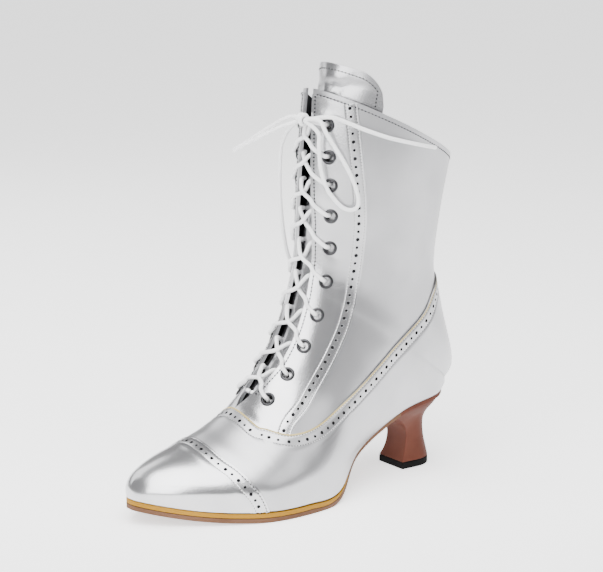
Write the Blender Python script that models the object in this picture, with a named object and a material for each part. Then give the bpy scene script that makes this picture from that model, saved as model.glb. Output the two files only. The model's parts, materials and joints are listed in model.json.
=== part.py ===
"""A laced ankle boot with a waisted heel, for a left foot, made piece by piece.

X runs from the heel to the toe, Y to the wearer's left, Z up. The origin is on the floor,
under the middle of the boot. Sizes are metres, and the pattern tables are millimetres.
"""
import functools
import math
from collections import Counter, namedtuple

import bmesh
import bpy
import numpy as np
from mathutils import Matrix, Vector

# Driving sizes
LENGTH = 0.2395          # back of the heel to the tip of the toe
BALL_WIDTH = 0.0859      # across the upper at the ball of the foot
COLLAR_HEIGHT = 0.2535   # floor to the front of the collar
WALL = 0.0016            # leather and lining together
OVERLAY = 0.0009         # one layer of leather sewn on top
FIT = 0.0003             # air between pieces that meet
PANEL_FIT = 0.00045      # air between the upper and a panel that lies on it
WELT = 0.0027
OUTSOLE = 0.0028         # under the ball; the waist and the seat are thinner
OUTSOLE_WAIST = 0.0026
OUTSOLE_SEAT = 0.0024
SOLE_MARGIN = 0.0020     # how far welt and sole stand out round the forefoot
WAIST_MARGIN = 0.0005
INSOLE = 0.0020
INSOLE_INSET = 0.0026
TOP_PIECE = 0.0045       # wear layer under the heel
TONGUE = 0.0018
LACE = 0.0026            # diameter of the round lace
EYELETS = 10             # on each side
EYELET_DRIFT = 0.024     # how far the middle ones sit above even spacing, as a share of the row
EYELET_HOLE = 0.0028    # radii of an eyelet
EYELET_BARREL = 0.0033
EYELET_FLANGE = 0.0046
EYELET_RISE = 0.0007
EYELET_EDGE = 0.0003     # lifts the flange's rim clear of the curved leather
PUNCH = 0.0040           # radius of the hole in the leather, and its sides
PUNCH_SIDES = 6

# One row for each section of the last, toe to collar, in millimetres on the pattern size.
# A section runs from the front line to the rear line, which is the foot's edge as far as the
# heel and then the back seam. Widths are measured from the centre to each side.
Station = namedtuple("Station", "front_x front_z rear_x rear_z centre lateral medial "
                     "edge_lateral edge_medial widest ridge fall rounding")
STATIONS = (
    Station(226.0, 14.6, 226.0, 14.6, 0.0, 0.0, 0.0, 0.0, 0.0, 0.62, 1.70, 2.4, 1.0),
    Station(225.0, 21.5, 221.5, 13.4, 0.0, 9.2, 9.0, 8.6, 8.2, 0.62, 1.70, 2.4, 1.0),
    Station(219.0, 27.7, 211.0, 11.2, 0.0, 18.8, 17.0, 18.0, 16.0, 0.62, 1.70, 2.4, 1.0),
    Station(205.0, 33.4, 197.0, 8.8, -0.8, 29.0, 24.5, 28.4, 22.5, 0.62, 1.70, 2.4, 1.0),
    Station(187.0, 38.4, 180.0, 6.9, -1.8, 39.4, 30.0, 38.6, 28.0, 0.66, 1.70, 2.4, 1.0),
    Station(169.0, 44.7, 160.0, 5.8, -2.5, 47.8, 33.2, 47.0, 31.0, 0.70, 1.70, 2.4, 1.0),
    Station(153.0, 55.0, 136.0, 5.7, -2.5, 48.6, 32.5, 48.2, 28.5, 0.72, 1.70, 2.4, 1.0),
    Station(141.0, 69.0, 110.0, 6.6, -2.0, 44.0, 31.0, 42.4, 22.5, 0.70, 1.70, 2.4, 1.0),
    Station(131.0, 82.5, 82.0, 23.2, -1.0, 35.0, 30.5, 23.8, 20.0, 0.62, 1.70, 2.4, 1.0),
    Station(122.0, 98.0, 50.0, 42.0, 0.0, 32.0, 31.0, 24.0, 24.0, 0.56, 1.70, 2.4, 1.0),
    Station(116.5, 113.0, 20.0, 49.5, 0.0, 32.0, 31.0, 23.0, 23.0, 0.52, 1.70, 2.6, 1.1),
    Station(112.5, 127.0, 6.0, 52.0, 0.0, 31.5, 31.0, 0.0, 0.0, 0.50, 1.70, 2.8, 2.0),
    Station(109.5, 142.0, -0.8, 64.0, 0.0, 31.0, 30.5, 0.0, 0.0, 0.50, 1.70, 2.7, 2.0),
    Station(108.0, 163.0, 8.5, 98.0, 0.0, 31.0, 30.5, 0.0, 0.0, 0.50, 1.70, 2.5, 2.0),
    Station(106.5, 186.0, 14.5, 125.0, 0.0, 32.5, 31.5, 0.0, 0.0, 0.50, 1.75, 2.4, 2.0),
    Station(104.5, 211.0, 11.0, 158.0, 0.0, 35.0, 32.5, 0.0, 0.0, 0.50, 1.80, 2.3, 2.0),
    Station(102.0, 239.0, 4.0, 192.0, 0.0, 37.5, 33.5, 0.0, 0.0, 0.50, 1.80, 2.2, 2.0),
)
BALL_ROW = 5             # rows of the table
HEEL_ROW = 11
COLLAR_ROW = len(STATIONS) - 1
THROAT = 6.0             # place between the rows where the facings part

GRADE_X = LENGTH / STATIONS[0].front_x
GRADE_Y = BALL_WIDTH / (STATIONS[BALL_ROW].lateral + STATIONS[BALL_ROW].medial)
GRADE_Z = COLLAR_HEIGHT / STATIONS[COLLAR_ROW].front_z
GRADES = {"front_x": GRADE_X, "rear_x": GRADE_X, "front_z": GRADE_Z, "rear_z": GRADE_Z,
          "centre": GRADE_Y, "lateral": GRADE_Y, "medial": GRADE_Y,
          "edge_lateral": GRADE_Y, "edge_medial": GRADE_Y}

# Half the gap between the facings, in millimetres
Gap = namedtuple("Gap", "place lateral medial")
GAPS = (Gap(THROAT, 0.0, 0.0), Gap(6.3, 3.0, 1.4), Gap(7.0, 8.0, 3.2), Gap(8.0, 10.0, 5.4),
        Gap(9.0, 9.4, 7.0), Gap(10.5, 9.2, 8.5), Gap(13.0, 7.8, 7.5), Gap(16.0, 3.5, 3.5))

# Seams of the panels that lie on the upper, as the side view shows them, in millimetres
SeamPoint = namedtuple("SeamPoint", "x z")
CAP_SEAM = (SeamPoint(180.0, 60.0), SeamPoint(180.3, 38.0), SeamPoint(175.0, 29.3),
            SeamPoint(166.8, 17.0), SeamPoint(161.8, 6.0), SeamPoint(158.8, -4.0))
THROAT_SEAM = (SeamPoint(153.4, 80.0), SeamPoint(153.2, 51.5), SeamPoint(148.5, 47.2),
               SeamPoint(138.0, 44.6))
SIDE_SEAM = (SeamPoint(122.0, 47.2), SeamPoint(106.0, 54.4), SeamPoint(86.0, 67.2),
             SeamPoint(62.0, 86.0), SeamPoint(40.0, 102.2), SeamPoint(26.5, 116.5),
             SeamPoint(6.0, 128.5))
FACING_SEAM = (SeamPoint(87.8, 250.0), SeamPoint(84.0, 205.0), SeamPoint(80.4, 162.0),
               SeamPoint(82.7, 128.0), SeamPoint(90.3, 101.5), SeamPoint(104.7, 78.0),
               SeamPoint(121.5, 58.5), SeamPoint(137.0, 46.4))

# Where the row of eyelets runs, with its distance from the facing's edge in millimetres
EyeletPlace = namedtuple("EyeletPlace", "place inset")
EYELET_LINE = (EyeletPlace(6.8, 11.0), EyeletPlace(7.9, 7.6), EyeletPlace(8.8, 7.8),
               EyeletPlace(9.8, 9.2), EyeletPlace(11.4, 10.8), EyeletPlace(14.0, 14.0),
               EyeletPlace(15.37, 11.4))

# The tongue: half its width, how deep its middle lies behind the front line, and how much
# farther back its edges are, in millimetres
TongueRow = namedtuple("TongueRow", "place half depth wrap")
TONGUE_ROWS = (TongueRow(5.55, 9.0, 2.8, 2.6), TongueRow(6.3, 13.0, 3.8, 5.0),
               TongueRow(7.5, 17.0, 4.8, 10.2), TongueRow(9.0, 20.0, 5.6, 17.0),
               TongueRow(11.0, 22.0, 6.2, 24.0), TongueRow(13.0, 24.0, 7.2, 28.0),
               TongueRow(15.0, 27.0, 10.2, 27.0), TongueRow(16.72, 30.0, 12.4, 27.0))
TONGUE_CORNER = 0.55     # how far the top corners are rounded off, in rows
TONGUE_FLAT = 0.68       # share of the width that stays straight along the top

# Heel sections from the seat down: height above the wear layer as a share of the seat,
# back and breast along X, half width at the sides and at the breast, and roundness
HeelRow = namedtuple("HeelRow", "share back breast half breast_half round_part")
HEEL = (
    HeelRow(1.00, 6.6, 53.0, 23.0, 22.6, 0.46), HeelRow(0.93, 8.4, 49.0, 21.4, 20.4, 0.47),
    HeelRow(0.85, 10.8, 44.4, 18.6, 17.0, 0.48), HeelRow(0.74, 14.2, 38.9, 14.4, 12.9, 0.50),
    HeelRow(0.62, 16.4, 35.4, 11.6, 10.6, 0.52), HeelRow(0.48, 16.4, 34.0, 10.2, 9.6, 0.54),
    HeelRow(0.30, 15.2, 34.6, 10.0, 9.6, 0.55), HeelRow(0.12, 13.0, 36.4, 10.7, 10.4, 0.55),
    HeelRow(0.00, 11.8, 38.4, 12.0, 11.8, 0.55),
)
HEEL_BACK_STEPS = 6      # facets round each half of the heel's back, and along each side
HEEL_SIDE_STEPS = 3
SEAT_FIT = 0.0004        # air between heel and sole

# The bow: routes beside the skin, with the height of the lace's middle above it in
# millimetres. Places and widths are the skin's own; a negative width is the medial side.
RoutePoint = namedtuple("RoutePoint", "place across height")
LOOP_LATERAL = (RoutePoint(15.44, 0.115, 7.4), RoutePoint(15.20, 0.165, 7.2),
                RoutePoint(14.70, 0.260, 6.8), RoutePoint(14.27, 0.302, 6.2),
                RoutePoint(13.95, 0.298, 5.8), RoutePoint(13.80, 0.245, 5.8),
                RoutePoint(14.03, 0.172, 6.4), RoutePoint(14.44, 0.132, 7.0),
                RoutePoint(14.90, 0.120, 7.4), RoutePoint(15.20, 0.110, 7.4))
END_LATERAL = (RoutePoint(15.56, 0.165, 6.4), RoutePoint(15.58, 0.222, 5.6),
               RoutePoint(15.57, 0.305, 4.6), RoutePoint(15.61, 0.385, 3.6),
               RoutePoint(15.70, 0.463, 2.8), RoutePoint(15.79, 0.545, 2.4),
               RoutePoint(15.87, 0.610, 2.2))
# Free stretches on the medial side, as pattern positions in millimetres
FreePoint = namedtuple("FreePoint", "x y z")
LOOP_MEDIAL = (FreePoint(109.8, -5.2, 222.5), FreePoint(113.6, -12.0, 219.6),
               FreePoint(118.6, -25.0, 211.6), FreePoint(122.6, -35.5, 204.6),
               FreePoint(126.6, -39.0, 201.4), FreePoint(131.2, -33.5, 201.6),
               FreePoint(126.6, -20.5, 208.4), FreePoint(119.6, -9.0, 215.4),
               FreePoint(112.4, -3.0, 218.8))
END_MEDIAL = (FreePoint(106.5, -6.0, 219.0), FreePoint(107.8, -12.3, 214.0),
              FreePoint(109.0, -17.5, 205.0), FreePoint(108.6, -20.0, 192.0),
              FreePoint(107.6, -21.5, 177.0), FreePoint(105.0, -23.5, 162.0),
              FreePoint(101.0, -26.5, 148.0), FreePoint(95.5, -30.5, 136.0),
              FreePoint(89.5, -34.0, 128.0))
BOW = ("lace_knot", "lace_loop_lateral", "lace_loop_medial", "lace_end_lateral",
       "lace_end_medial")
KNOT = FreePoint(108.0, 2.0, 221.2)
KNOT_SIZE = FreePoint(3.0, 5.2, 3.9)

COLOURS = {                # base colour, roughness, metallic
    "silver_leather": ((0.62, 0.62, 0.64, 1.0), 0.35, 0.75),
    "bright_leather": ((0.72, 0.72, 0.74, 1.0), 0.28, 0.85),
    "tongue_leather": ((0.60, 0.60, 0.62, 1.0), 0.32, 0.80),
    "insole_lining": ((0.55, 0.50, 0.44, 1.0), 0.80, 0.0),
    "welt_leather": ((0.62, 0.38, 0.11, 1.0), 0.55, 0.0),
    "sole_leather": ((0.30, 0.17, 0.12, 1.0), 0.55, 0.0),
    "heel_stack": ((0.15, 0.05, 0.035, 1.0), 0.40, 0.0),
    "black_rubber": ((0.012, 0.012, 0.012, 1.0), 0.60, 0.0),
    "nickel": ((0.45, 0.45, 0.46, 1.0), 0.25, 1.0),
    "white_lace": ((0.85, 0.85, 0.84, 1.0), 0.80, 0.0),
}


def clear_scene():
    for old in list(bpy.data.objects):
        bpy.data.objects.remove(old, do_unlink=True)


def material(name):
    made = bpy.data.materials.get(name)
    if made:
        return made
    colour, roughness, metallic = COLOURS[name]
    made = bpy.data.materials.new(name)
    made.use_nodes = True
    shader = made.node_tree.nodes["Principled BSDF"]
    shader.inputs["Base Color"].default_value = colour
    shader.inputs["Roughness"].default_value = roughness
    shader.inputs["Metallic"].default_value = metallic
    return made


def padded(values, start, end):
    """Values with one more at each end: turned in place, mirrored, or run straight on."""
    def beyond(edge, inner, rule):
        return {"mirror": inner, "turn": -inner, "straight": 2 * edge - inner}[rule]
    return [beyond(values[0], values[1], start), *values, beyond(values[-1], values[-2], end)]


def smooth(line, place):
    """A point of the smooth line through padded values that are one step apart."""
    k = min(max(math.floor(place), 0), len(line) - 4)
    t = place - k
    a, b, c, d = line[k:k + 4]
    return b + 0.5 * t * (c - a + t * (2 * a - 5 * b + 4 * c - d + t * (3 * (b - c) + d - a)))


def table_line(rows, name, start="straight", end="straight"):
    return padded([getattr(row, name) for row in rows], start, end)


FOOT = STATIONS[:HEEL_ROW + 1]
SHAFT = STATIONS[HEEL_ROW:]
STARTS = {"front_x": "mirror", "lateral": "turn", "medial": "turn"}
LINES = {name: table_line(STATIONS, name, STARTS.get(name, "straight"))
         for name in Station._fields}
FOOT_LINES = {"rear_x": table_line(FOOT, "rear_x", "mirror", "mirror"),
              "rear_z": table_line(FOOT, "rear_z"),
              "edge_lateral": table_line(FOOT, "edge_lateral", "turn", "turn"),
              "edge_medial": table_line(FOOT, "edge_medial", "turn", "turn")}
SHAFT_LINES = {"rear_x": table_line(SHAFT, "rear_x"), "rear_z": table_line(SHAFT, "rear_z")}


@functools.lru_cache(maxsize=None)
def station(place):
    """The section at a place between the rows, graded to the real size."""
    values = {}
    for name in Station._fields:
        if name in FOOT_LINES and place <= HEEL_ROW:
            value = smooth(FOOT_LINES[name], place)
        elif name in SHAFT_LINES:
            value = smooth(SHAFT_LINES[name], place - HEEL_ROW)
        elif name in FOOT_LINES:
            value = 0.0
        else:
            value = smooth(LINES[name], place)
        values[name] = value * GRADES.get(name, 1.0)
    return Station(**values)


def half_gap(place, side):
    halves = [g.lateral if side > 0 else g.medial for g in GAPS]
    return float(np.interp(place, [g.place for g in GAPS], halves)) * GRADE_Y


TINY = 1e-6


def raw_skin(place, across, side, gap):
    """A point of the outer skin. Across runs from the front, 0, to the rear line, 1, and as
    far as the widest point, at 0.5, it counts how far the section has turned."""
    s = station(place)
    width = max(s.lateral if side > 0 else s.medial, TINY)
    edge = s.edge_lateral if side > 0 else s.edge_medial
    if across <= 0.5:
        power = 2 / s.ridge
        deep = max(math.hypot(s.front_x - s.rear_x, s.front_z - s.rear_z), TINY) * s.widest
        start = math.asin(min(half_gap(place, side) / width, 0.99) ** (1 / power)) if gap else 0.0
        turned = math.atan(deep / width * math.tan(start) ** (2 - power))
        turned += (math.pi / 2 - turned) * across / 0.5
        angle = math.atan((math.tan(turned) * width / deep) ** (1 / (2 - power)))
        share = s.widest * (1 - math.cos(angle) ** power)
        y = width * math.sin(angle) ** power
    else:
        fall = math.sin(math.pi * (across - 0.5))
        share = s.widest + (1 - s.widest) * fall
        y = edge + (width - edge) * max(1 - fall ** s.fall, 0.0) ** (1 / s.rounding)
    return Vector((s.front_x + (s.rear_x - s.front_x) * share, s.centre + side * y,
                   s.front_z + (s.rear_z - s.front_z) * share))


STEP = 1e-3              # for slopes, in rows and widths


def normal(place, across, side, gap):
    """The outward direction of the skin."""
    if place < STEP:
        return Vector((1.0, 0.0, 0.0))
    gap = gap and place > THROAT
    after = raw_skin(place + STEP, across, side, gap)
    slope = after - raw_skin(place - STEP, across, side, gap)
    on_ridge = across < STEP and not gap
    on_seam = across > 1 - STEP and place >= HEEL_ROW
    if on_ridge or on_seam:
        over = Vector((0.0, 1.0, 0.0))
    else:
        low, high = max(across - STEP, 0.0), min(across + STEP, 1.0)
        over = raw_skin(place, high, side, gap) - raw_skin(place, low, side, gap)
    out = slope.cross(over).normalized()
    s = station(place)
    middle = Vector(((s.front_x + s.rear_x) / 2, s.centre, (s.front_z + s.rear_z) / 2))
    return out if out.dot(raw_skin(place, across, side, gap) - middle) > 0 else -out


def skin(place, across, side, height=0.0, gap=True):
    """A point above the outer skin, or inside it where the height is negative."""
    point = raw_skin(place, across, side, gap)
    return point + height * normal(place, across, side, gap) if height else point


def reach(place, side, inset):
    """The width at which the skin is this far from the facing's edge."""
    far, before = 0.0, raw_skin(place, 0.0, side, True)
    for across in np.linspace(0.0, 0.5, 101)[1:]:
        here = raw_skin(place, float(across), side, True)
        far, before = far + (here - before).length, here
        if far >= inset:
            return float(across)
    return 0.5


def finish(name, bm, finish_name, smooth_angle=math.radians(40)):
    """Make an object of a closed bmesh, with its faces turned outwards."""
    bmesh.ops.remove_doubles(bm, verts=bm.verts, dist=1e-7)
    bmesh.ops.recalc_face_normals(bm, faces=bm.faces)
    mesh = bpy.data.meshes.new(name)
    bm.to_mesh(mesh)
    bm.free()
    mesh.shade_smooth()
    mesh.set_sharp_from_angle(angle=smooth_angle)
    mesh.materials.append(material(finish_name))
    made = bpy.data.objects.new(name, mesh)
    bpy.context.collection.objects.link(made)
    return made


def shell(name, patches, finish_name):
    """Close the space between two layers. A patch is rows of (upper, lower) points, and
    patches that share an edge are welded there. Every cell is split along the same diagonal,
    so that layers on one grid keep their distance."""
    numbers, upper, lower, cells = {}, [], [], []
    for patch in patches:
        rows = []
        for row in patch:
            rows.append([])
            for top, bottom in row:
                key = tuple(round(c, 6) for c in (*top, *bottom))
                if key not in numbers:
                    numbers[key] = len(upper)
                    upper.append(top)
                    lower.append(bottom)
                rows[-1].append(numbers[key])
        for near, far in zip(rows, rows[1:]):
            for k in range(len(near) - 1):
                corners = (near[k], near[k + 1], far[k + 1], far[k])
                cell = tuple(dict.fromkeys(corners))
                cells += [(cell[0], *pair) for pair in zip(cell[1:], cell[2:])]
    sides = Counter(frozenset(pair) for cell in cells for pair in zip(cell, cell[1:] + cell[:1]))
    bm = bmesh.new()
    top = [bm.verts.new(p) for p in upper]
    bottom = [bm.verts.new(p) for p in lower]
    for cell in cells:
        bm.faces.new([top[k] for k in cell])
        bm.faces.new([bottom[k] for k in reversed(cell)])
    for pair, uses in sides.items():
        if uses == 1:
            a, b = pair
            bm.faces.new((top[a], top[b], bottom[b], bottom[a]))
    return finish(name, bm, finish_name)


def fade(place, first, last, before, after):
    return float(np.interp(place, (first, last), (before, after)))


def spread(*stretches):
    """Places from (first, last, steps) stretches that follow one another."""
    places = [stretches[0][0]]
    for first, last, steps in stretches:
        places += [float(p) for p in np.linspace(first, last, steps + 1)[1:]]
    return places


def skin_pair(place, across, side, outer, inner, gap=True):
    return (skin(place, across, side, outer, gap), skin(place, across, side, inner, gap))


FOOT_PLACES = spread((0.0, 1.0, 3), (1.0, THROAT, 7), (THROAT, 10.0, 7), (10.0, HEEL_ROW, 4))
UPPER_PLACES = FOOT_PLACES + spread((HEEL_ROW, COLLAR_ROW, 7))[1:]
UPPER_WIDTHS = spread((0.0, 0.5, 6), (0.5, 1.0, 4))
PANEL_TOP = PANEL_FIT + OVERLAY


def make_upper():
    patches = [[[skin_pair(p, w, side, 0.0, -WALL) for w in UPPER_WIDTHS] for p in UPPER_PLACES]
               for side in (1, -1)]
    return shell("upper", patches, "silver_leather")


PANEL_LIFT = 0.0015      # panels stop this far above the foot's edge


def panel_end(place):
    """The width at which a panel stops, above the foot's edge or on the back seam."""
    if place >= HEEL_ROW:
        return 1.0
    s = station(place)
    deep = math.hypot(s.front_x - s.rear_x, s.front_z - s.rear_z) * (1 - s.widest)
    lift = PANEL_LIFT * fade(place, HEEL_ROW - 1.0, HEEL_ROW, 1.0, 0.0)
    return 0.5 + math.asin(max(1 - lift / max(deep, TINY), 0.0)) / math.pi


def panel_layer(name, finish_name, sides):
    """A layer of leather over the upper, or over one side of it, from which a panel is cut."""
    patches = []
    for side in sides:
        patches.append([[skin_pair(p, min(w, panel_end(p)), side, PANEL_TOP, PANEL_FIT)
                         for w in UPPER_WIDTHS] for p in UPPER_PLACES])
    return shell(name, patches, finish_name)


def seam(points, steps, dx=0.0, dz=0.0):
    """A smooth seam line in side view, moved a little to leave air beside it."""
    route = smooth_route([(p.x * GRADE_X + dx, 0.0, p.z * GRADE_Z + dz) for p in points], steps)
    return [(p.x, p.z) for p in route]


def corner(x, z):
    return (x * GRADE_X, z * GRADE_Z)


def panel(name, outline, finish_name, sides=(1, -1)):
    """Cut a panel from the layer with its outline in side view, run through the boot."""
    bm = bmesh.new()
    face = bm.faces.new([bm.verts.new((x, -BALL_WIDTH, z)) for x, z in outline])
    run = bmesh.ops.extrude_face_region(bm, geom=[face])
    swept = [v for v in run["geom"] if isinstance(v, bmesh.types.BMVert)]
    bmesh.ops.translate(bm, verts=swept, vec=(0.0, 2 * BALL_WIDTH, 0.0))
    cutter = finish(name + "_outline", bm, finish_name)
    cutter.hide_render = True
    cutter.display_type = "WIRE"
    made = panel_layer(name, finish_name, sides)
    trim = made.modifiers.new("outline", "BOOLEAN")
    trim.operation = "INTERSECT"
    trim.solver = "EXACT"
    trim.object = cutter
    return made


def make_toe_cap():
    outline = seam(CAP_SEAM, 10, dx=FIT) + [corner(240.0, -4.0), corner(240.0, 60.0)]
    return panel("toe_cap", outline, "bright_leather")


def make_galosh():
    outline = seam(THROAT_SEAM + SIDE_SEAM, 24) + [corner(-10.0, 128.5), corner(-10.0, -4.0)]
    outline += list(reversed(seam(CAP_SEAM, 10)))
    return panel("galosh", outline, "silver_leather")


def make_facing(name, side):
    outline = seam(FACING_SEAM, 14) + list(reversed(seam(THROAT_SEAM, 8, -FIT, FIT)))
    outline += [corner(153.0, 250.0)]
    return panel(name, outline, "bright_leather", (side,))


TONGUE_STEPS = 11
TONGUE_WIDTHS = spread((-1.0, -0.85, 2), (-0.85, 0.85, 6), (0.85, 1.0, 2))


def tongue_pair(place, w):
    """Points on both faces of the tongue; w runs from edge to edge."""
    places = [row.place for row in TONGUE_ROWS]
    half, depth, wrap = (float(np.interp(place, places, [getattr(row, name) for row in TONGUE_ROWS]))
                         / 1000 for name in ("half", "depth", "wrap"))
    s = station(place)
    front = Vector((s.front_x, s.centre, s.front_z))
    back = (Vector((s.rear_x, s.centre, s.rear_z)) - front).normalized()
    slope = 2 * wrap * w / half
    outer = front + back * (depth + wrap * w * w) + Vector((0.0, half * w, 0.0))
    return outer, outer + (back - Vector((0.0, slope, 0.0))).normalized() * TONGUE


def make_tongue():
    rows = []
    first, last = TONGUE_ROWS[0].place, TONGUE_ROWS[-1].place
    for share in np.linspace(0.0, 1.0, TONGUE_STEPS + 1):
        row = []
        for w in TONGUE_WIDTHS:
            turn = max((abs(w) - TONGUE_FLAT) / (1 - TONGUE_FLAT), 0.0)
            drop = TONGUE_CORNER * (1 - math.sqrt(max(1 - turn * turn, 0.0)))
            row.append(tongue_pair(first + (last - drop - first) * share, w))
        rows.append(row)
    return shell("tongue", [rows], "tongue_leather")


WELT_FADE = 6.5          # where the welt starts to thin out, and where it stops at the waist
WELT_END = 7.5


def welt_height(place):
    return fade(place, WELT_FADE, WELT_END + 0.25, WELT, 0.0)


def sole_margin(place):
    return fade(place, WELT_FADE, 8.5, SOLE_MARGIN, WAIST_MARGIN)


def foot_edge(place, side, margin):
    """A point of the foot's edge, moved out in plan by a margin."""
    point = raw_skin(place, 1.0, side, True)
    if place < STEP or place > HEEL_ROW - STEP:
        way = Vector((1.0 if place < STEP else -1.0, 0.0))
    else:
        slope = raw_skin(place + STEP, 1.0, side, True) - raw_skin(place - STEP, 1.0, side, True)
        way = Vector((-slope.y, slope.x)).normalized() * -side
    return Vector((point.x + way.x * margin, point.y + way.y * margin, point.z))


def outsole_top(place):
    """Height of the outsole's top: under the welt, or under the upper where there is none."""
    welt = welt_height(place)
    return station(place).rear_z - FIT - welt - FIT * min(welt / WELT * 4, 1.0)


def outsole_bottom(place):
    thick = np.interp(place, (6.0, 8.0, 9.0, HEEL_ROW),
                      (OUTSOLE, OUTSOLE_WAIST, OUTSOLE_SEAT, OUTSOLE_SEAT))
    return max(outsole_top(place) - float(thick), 0.0)


SOLE_CROSSINGS = 2


def sole_layer(name, places, inset, top, bottom, finish_name):
    """A layer of the sole between two heights, as wide as the foot's edge and its margin."""
    rows = []
    for p in places:
        outer, inner = foot_edge(p, 1, inset(p)), foot_edge(p, -1, inset(p))
        row = []
        for share in np.linspace(0.0, 1.0, SOLE_CROSSINGS + 1):
            here = outer.lerp(inner, float(share))
            row.append((Vector((here.x, here.y, top(p))), Vector((here.x, here.y, bottom(p)))))
        rows.append(row)
    return shell(name, [rows], finish_name)


def make_outsole():
    return sole_layer("outsole", FOOT_PLACES, sole_margin, outsole_top, outsole_bottom,
                      "sole_leather")


def make_insole():
    return sole_layer("insole", FOOT_PLACES, lambda p: -INSOLE_INSET,
                      lambda p: station(p).rear_z + INSOLE,
                      lambda p: outsole_top(p) + FIT, "insole_lining")


WELT_INNER = 0.0016      # how far the welt reaches in under the upper
WELT_PLACES = [p for p in FOOT_PLACES if p <= WELT_END]


def make_welt():
    patches = []
    for side in (1, -1):
        rows = []
        for p in WELT_PLACES:
            top = station(p).rear_z - FIT
            bottom = top - welt_height(p)
            row = []
            for margin in (-WELT_INNER, sole_margin(p)):
                here = foot_edge(p, side, margin)
                row.append((Vector((here.x, here.y, top)), Vector((here.x, here.y, bottom))))
            rows.append(row)
        patches.append(rows)
    return shell("welt", patches, "welt_leather")


def sole_underside(x):
    """Height of the outsole's underside over the seat, at a place along X."""
    places = [p for p in FOOT_PLACES if p >= 8.0]
    return float(np.interp(-x, [-station(p).rear_x for p in places],
                           [outsole_bottom(p) for p in places]))


def heel_half(row):
    """Half of a heel section in plan: round at the back, straight to the breast."""
    back, breast = row.back * GRADE_X, row.breast * GRADE_X
    half, front = row.half * GRADE_Y, row.breast_half * GRADE_Y
    turn = (breast - back) * row.round_part
    outline = []
    for k in range(HEEL_BACK_STEPS + 1):
        angle = math.pi / 2 * k / HEEL_BACK_STEPS
        outline.append((back + turn * (1 - math.cos(angle)), half * math.sin(angle)))
    for k in range(1, HEEL_SIDE_STEPS + 1):
        share = k / HEEL_SIDE_STEPS
        outline.append((back + turn + (breast - back - turn) * share,
                        half + (front - half) * share))
    return outline


def loft(name, rings, finish_name):
    """Close a stack of half outlines, mirrored across the middle plane."""
    bm = bmesh.new()
    count = len(rings[0])
    stack = []
    for ring in rings:
        near = [bm.verts.new(p) for p in ring]
        far = [near[0]] + [bm.verts.new((p[0], -p[1], p[2])) for p in ring[1:]]
        stack.append((near, far))
    for (near, far), (low_near, low_far) in zip(stack, stack[1:]):
        for k in range(count - 1):
            bm.faces.new((near[k], near[k + 1], low_near[k + 1], low_near[k]))
            bm.faces.new((far[k + 1], far[k], low_far[k], low_far[k + 1]))
        bm.faces.new((near[-1], far[-1], low_far[-1], low_near[-1]))
    for near, far in (stack[0], stack[-1]):
        bm.faces.new((near[0], near[1], far[1]))
        for k in range(1, count - 1):
            bm.faces.new((near[k], near[k + 1], far[k + 1], far[k]))
    return finish(name, bm, finish_name, math.radians(30))


def make_heel():
    floor = TOP_PIECE + FIT
    seat = [sole_underside(x) - SEAT_FIT for x, y in heel_half(HEEL[0])]
    rings = []
    for row in HEEL:
        rings.append([(x, y, floor + (high - floor) * row.share)
                      for (x, y), high in zip(heel_half(row), seat)])
    return loft("heel", rings, "heel_stack")


def make_top_piece():
    outline = heel_half(HEEL[-1])
    return loft("top_piece", [[(x, y, z) for x, y in outline] for z in (TOP_PIECE, 0.0)],
                "black_rubber")


def eyelet_seats(side):
    """Places and widths of the eyelets on one side, a little wider apart half-way up."""
    places = np.linspace(EYELET_LINE[0].place, EYELET_LINE[-1].place, 201)
    insets = np.interp(places, [e.place for e in EYELET_LINE], [e.inset for e in EYELET_LINE])
    seats = [(float(p), reach(float(p), side, float(i) / 1000)) for p, i in zip(places, insets)]
    points = [skin(p, w, side) for p, w in seats]
    run = np.concatenate(([0.0], np.cumsum([(b - a).length for a, b in zip(points, points[1:])])))
    shares = np.linspace(0.0, 1.0, EYELETS)
    stops = run[-1] * (shares + EYELET_DRIFT * np.sin(math.pi * shares ** 1.5) ** 2)
    return [seats[int(np.argmin(np.abs(run - stop)))] for stop in stops]


def seat_matrix(place, across, side, height):
    """A frame on the skin with its Z axis pointing out."""
    out = normal(place, across, side, True)
    turn = out.to_track_quat("Z", "Y").to_matrix().to_4x4()
    return Matrix.Translation(skin(place, across, side, height)) @ turn


EYELET_SIDES = 8
EYELET_DEPTH = PANEL_TOP + WALL + FIT


def eyelet_mesh():
    """A flange with a barrel, turned round its own Z axis."""
    profile = ((EYELET_HOLE, EYELET_RISE), (EYELET_HOLE, -EYELET_DEPTH),
               (EYELET_BARREL, -EYELET_DEPTH), (EYELET_BARREL, 0.0), (EYELET_FLANGE, EYELET_EDGE))
    bm = bmesh.new()
    ring = [bm.verts.new((r, 0.0, z)) for r, z in profile]
    edges = [bm.edges.new((a, b)) for a, b in zip(ring, ring[1:] + ring[:1])]
    bmesh.ops.spin(bm, geom=ring + edges, cent=(0, 0, 0), axis=(0, 0, 1), angle=2 * math.pi,
                   steps=EYELET_SIDES, use_merge=True)
    bmesh.ops.remove_doubles(bm, verts=bm.verts, dist=1e-6)
    bmesh.ops.recalc_face_normals(bm, faces=bm.faces)
    mesh = bpy.data.meshes.new("eyelet")
    bm.to_mesh(mesh)
    bm.free()
    mesh.shade_smooth()
    mesh.set_sharp_from_angle(angle=math.radians(40))
    mesh.materials.append(material("nickel"))
    return mesh


def make_eyelets():
    mesh = eyelet_mesh()
    for side, side_name in ((1, "lateral"), (-1, "medial")):
        for k, (place, across) in enumerate(eyelet_seats(side), 1):
            made = bpy.data.objects.new(f"eyelet_{side_name}_{k:02d}", mesh)
            made.matrix_world = seat_matrix(place, across, side, PANEL_TOP + FIT)
            bpy.context.collection.objects.link(made)


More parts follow.
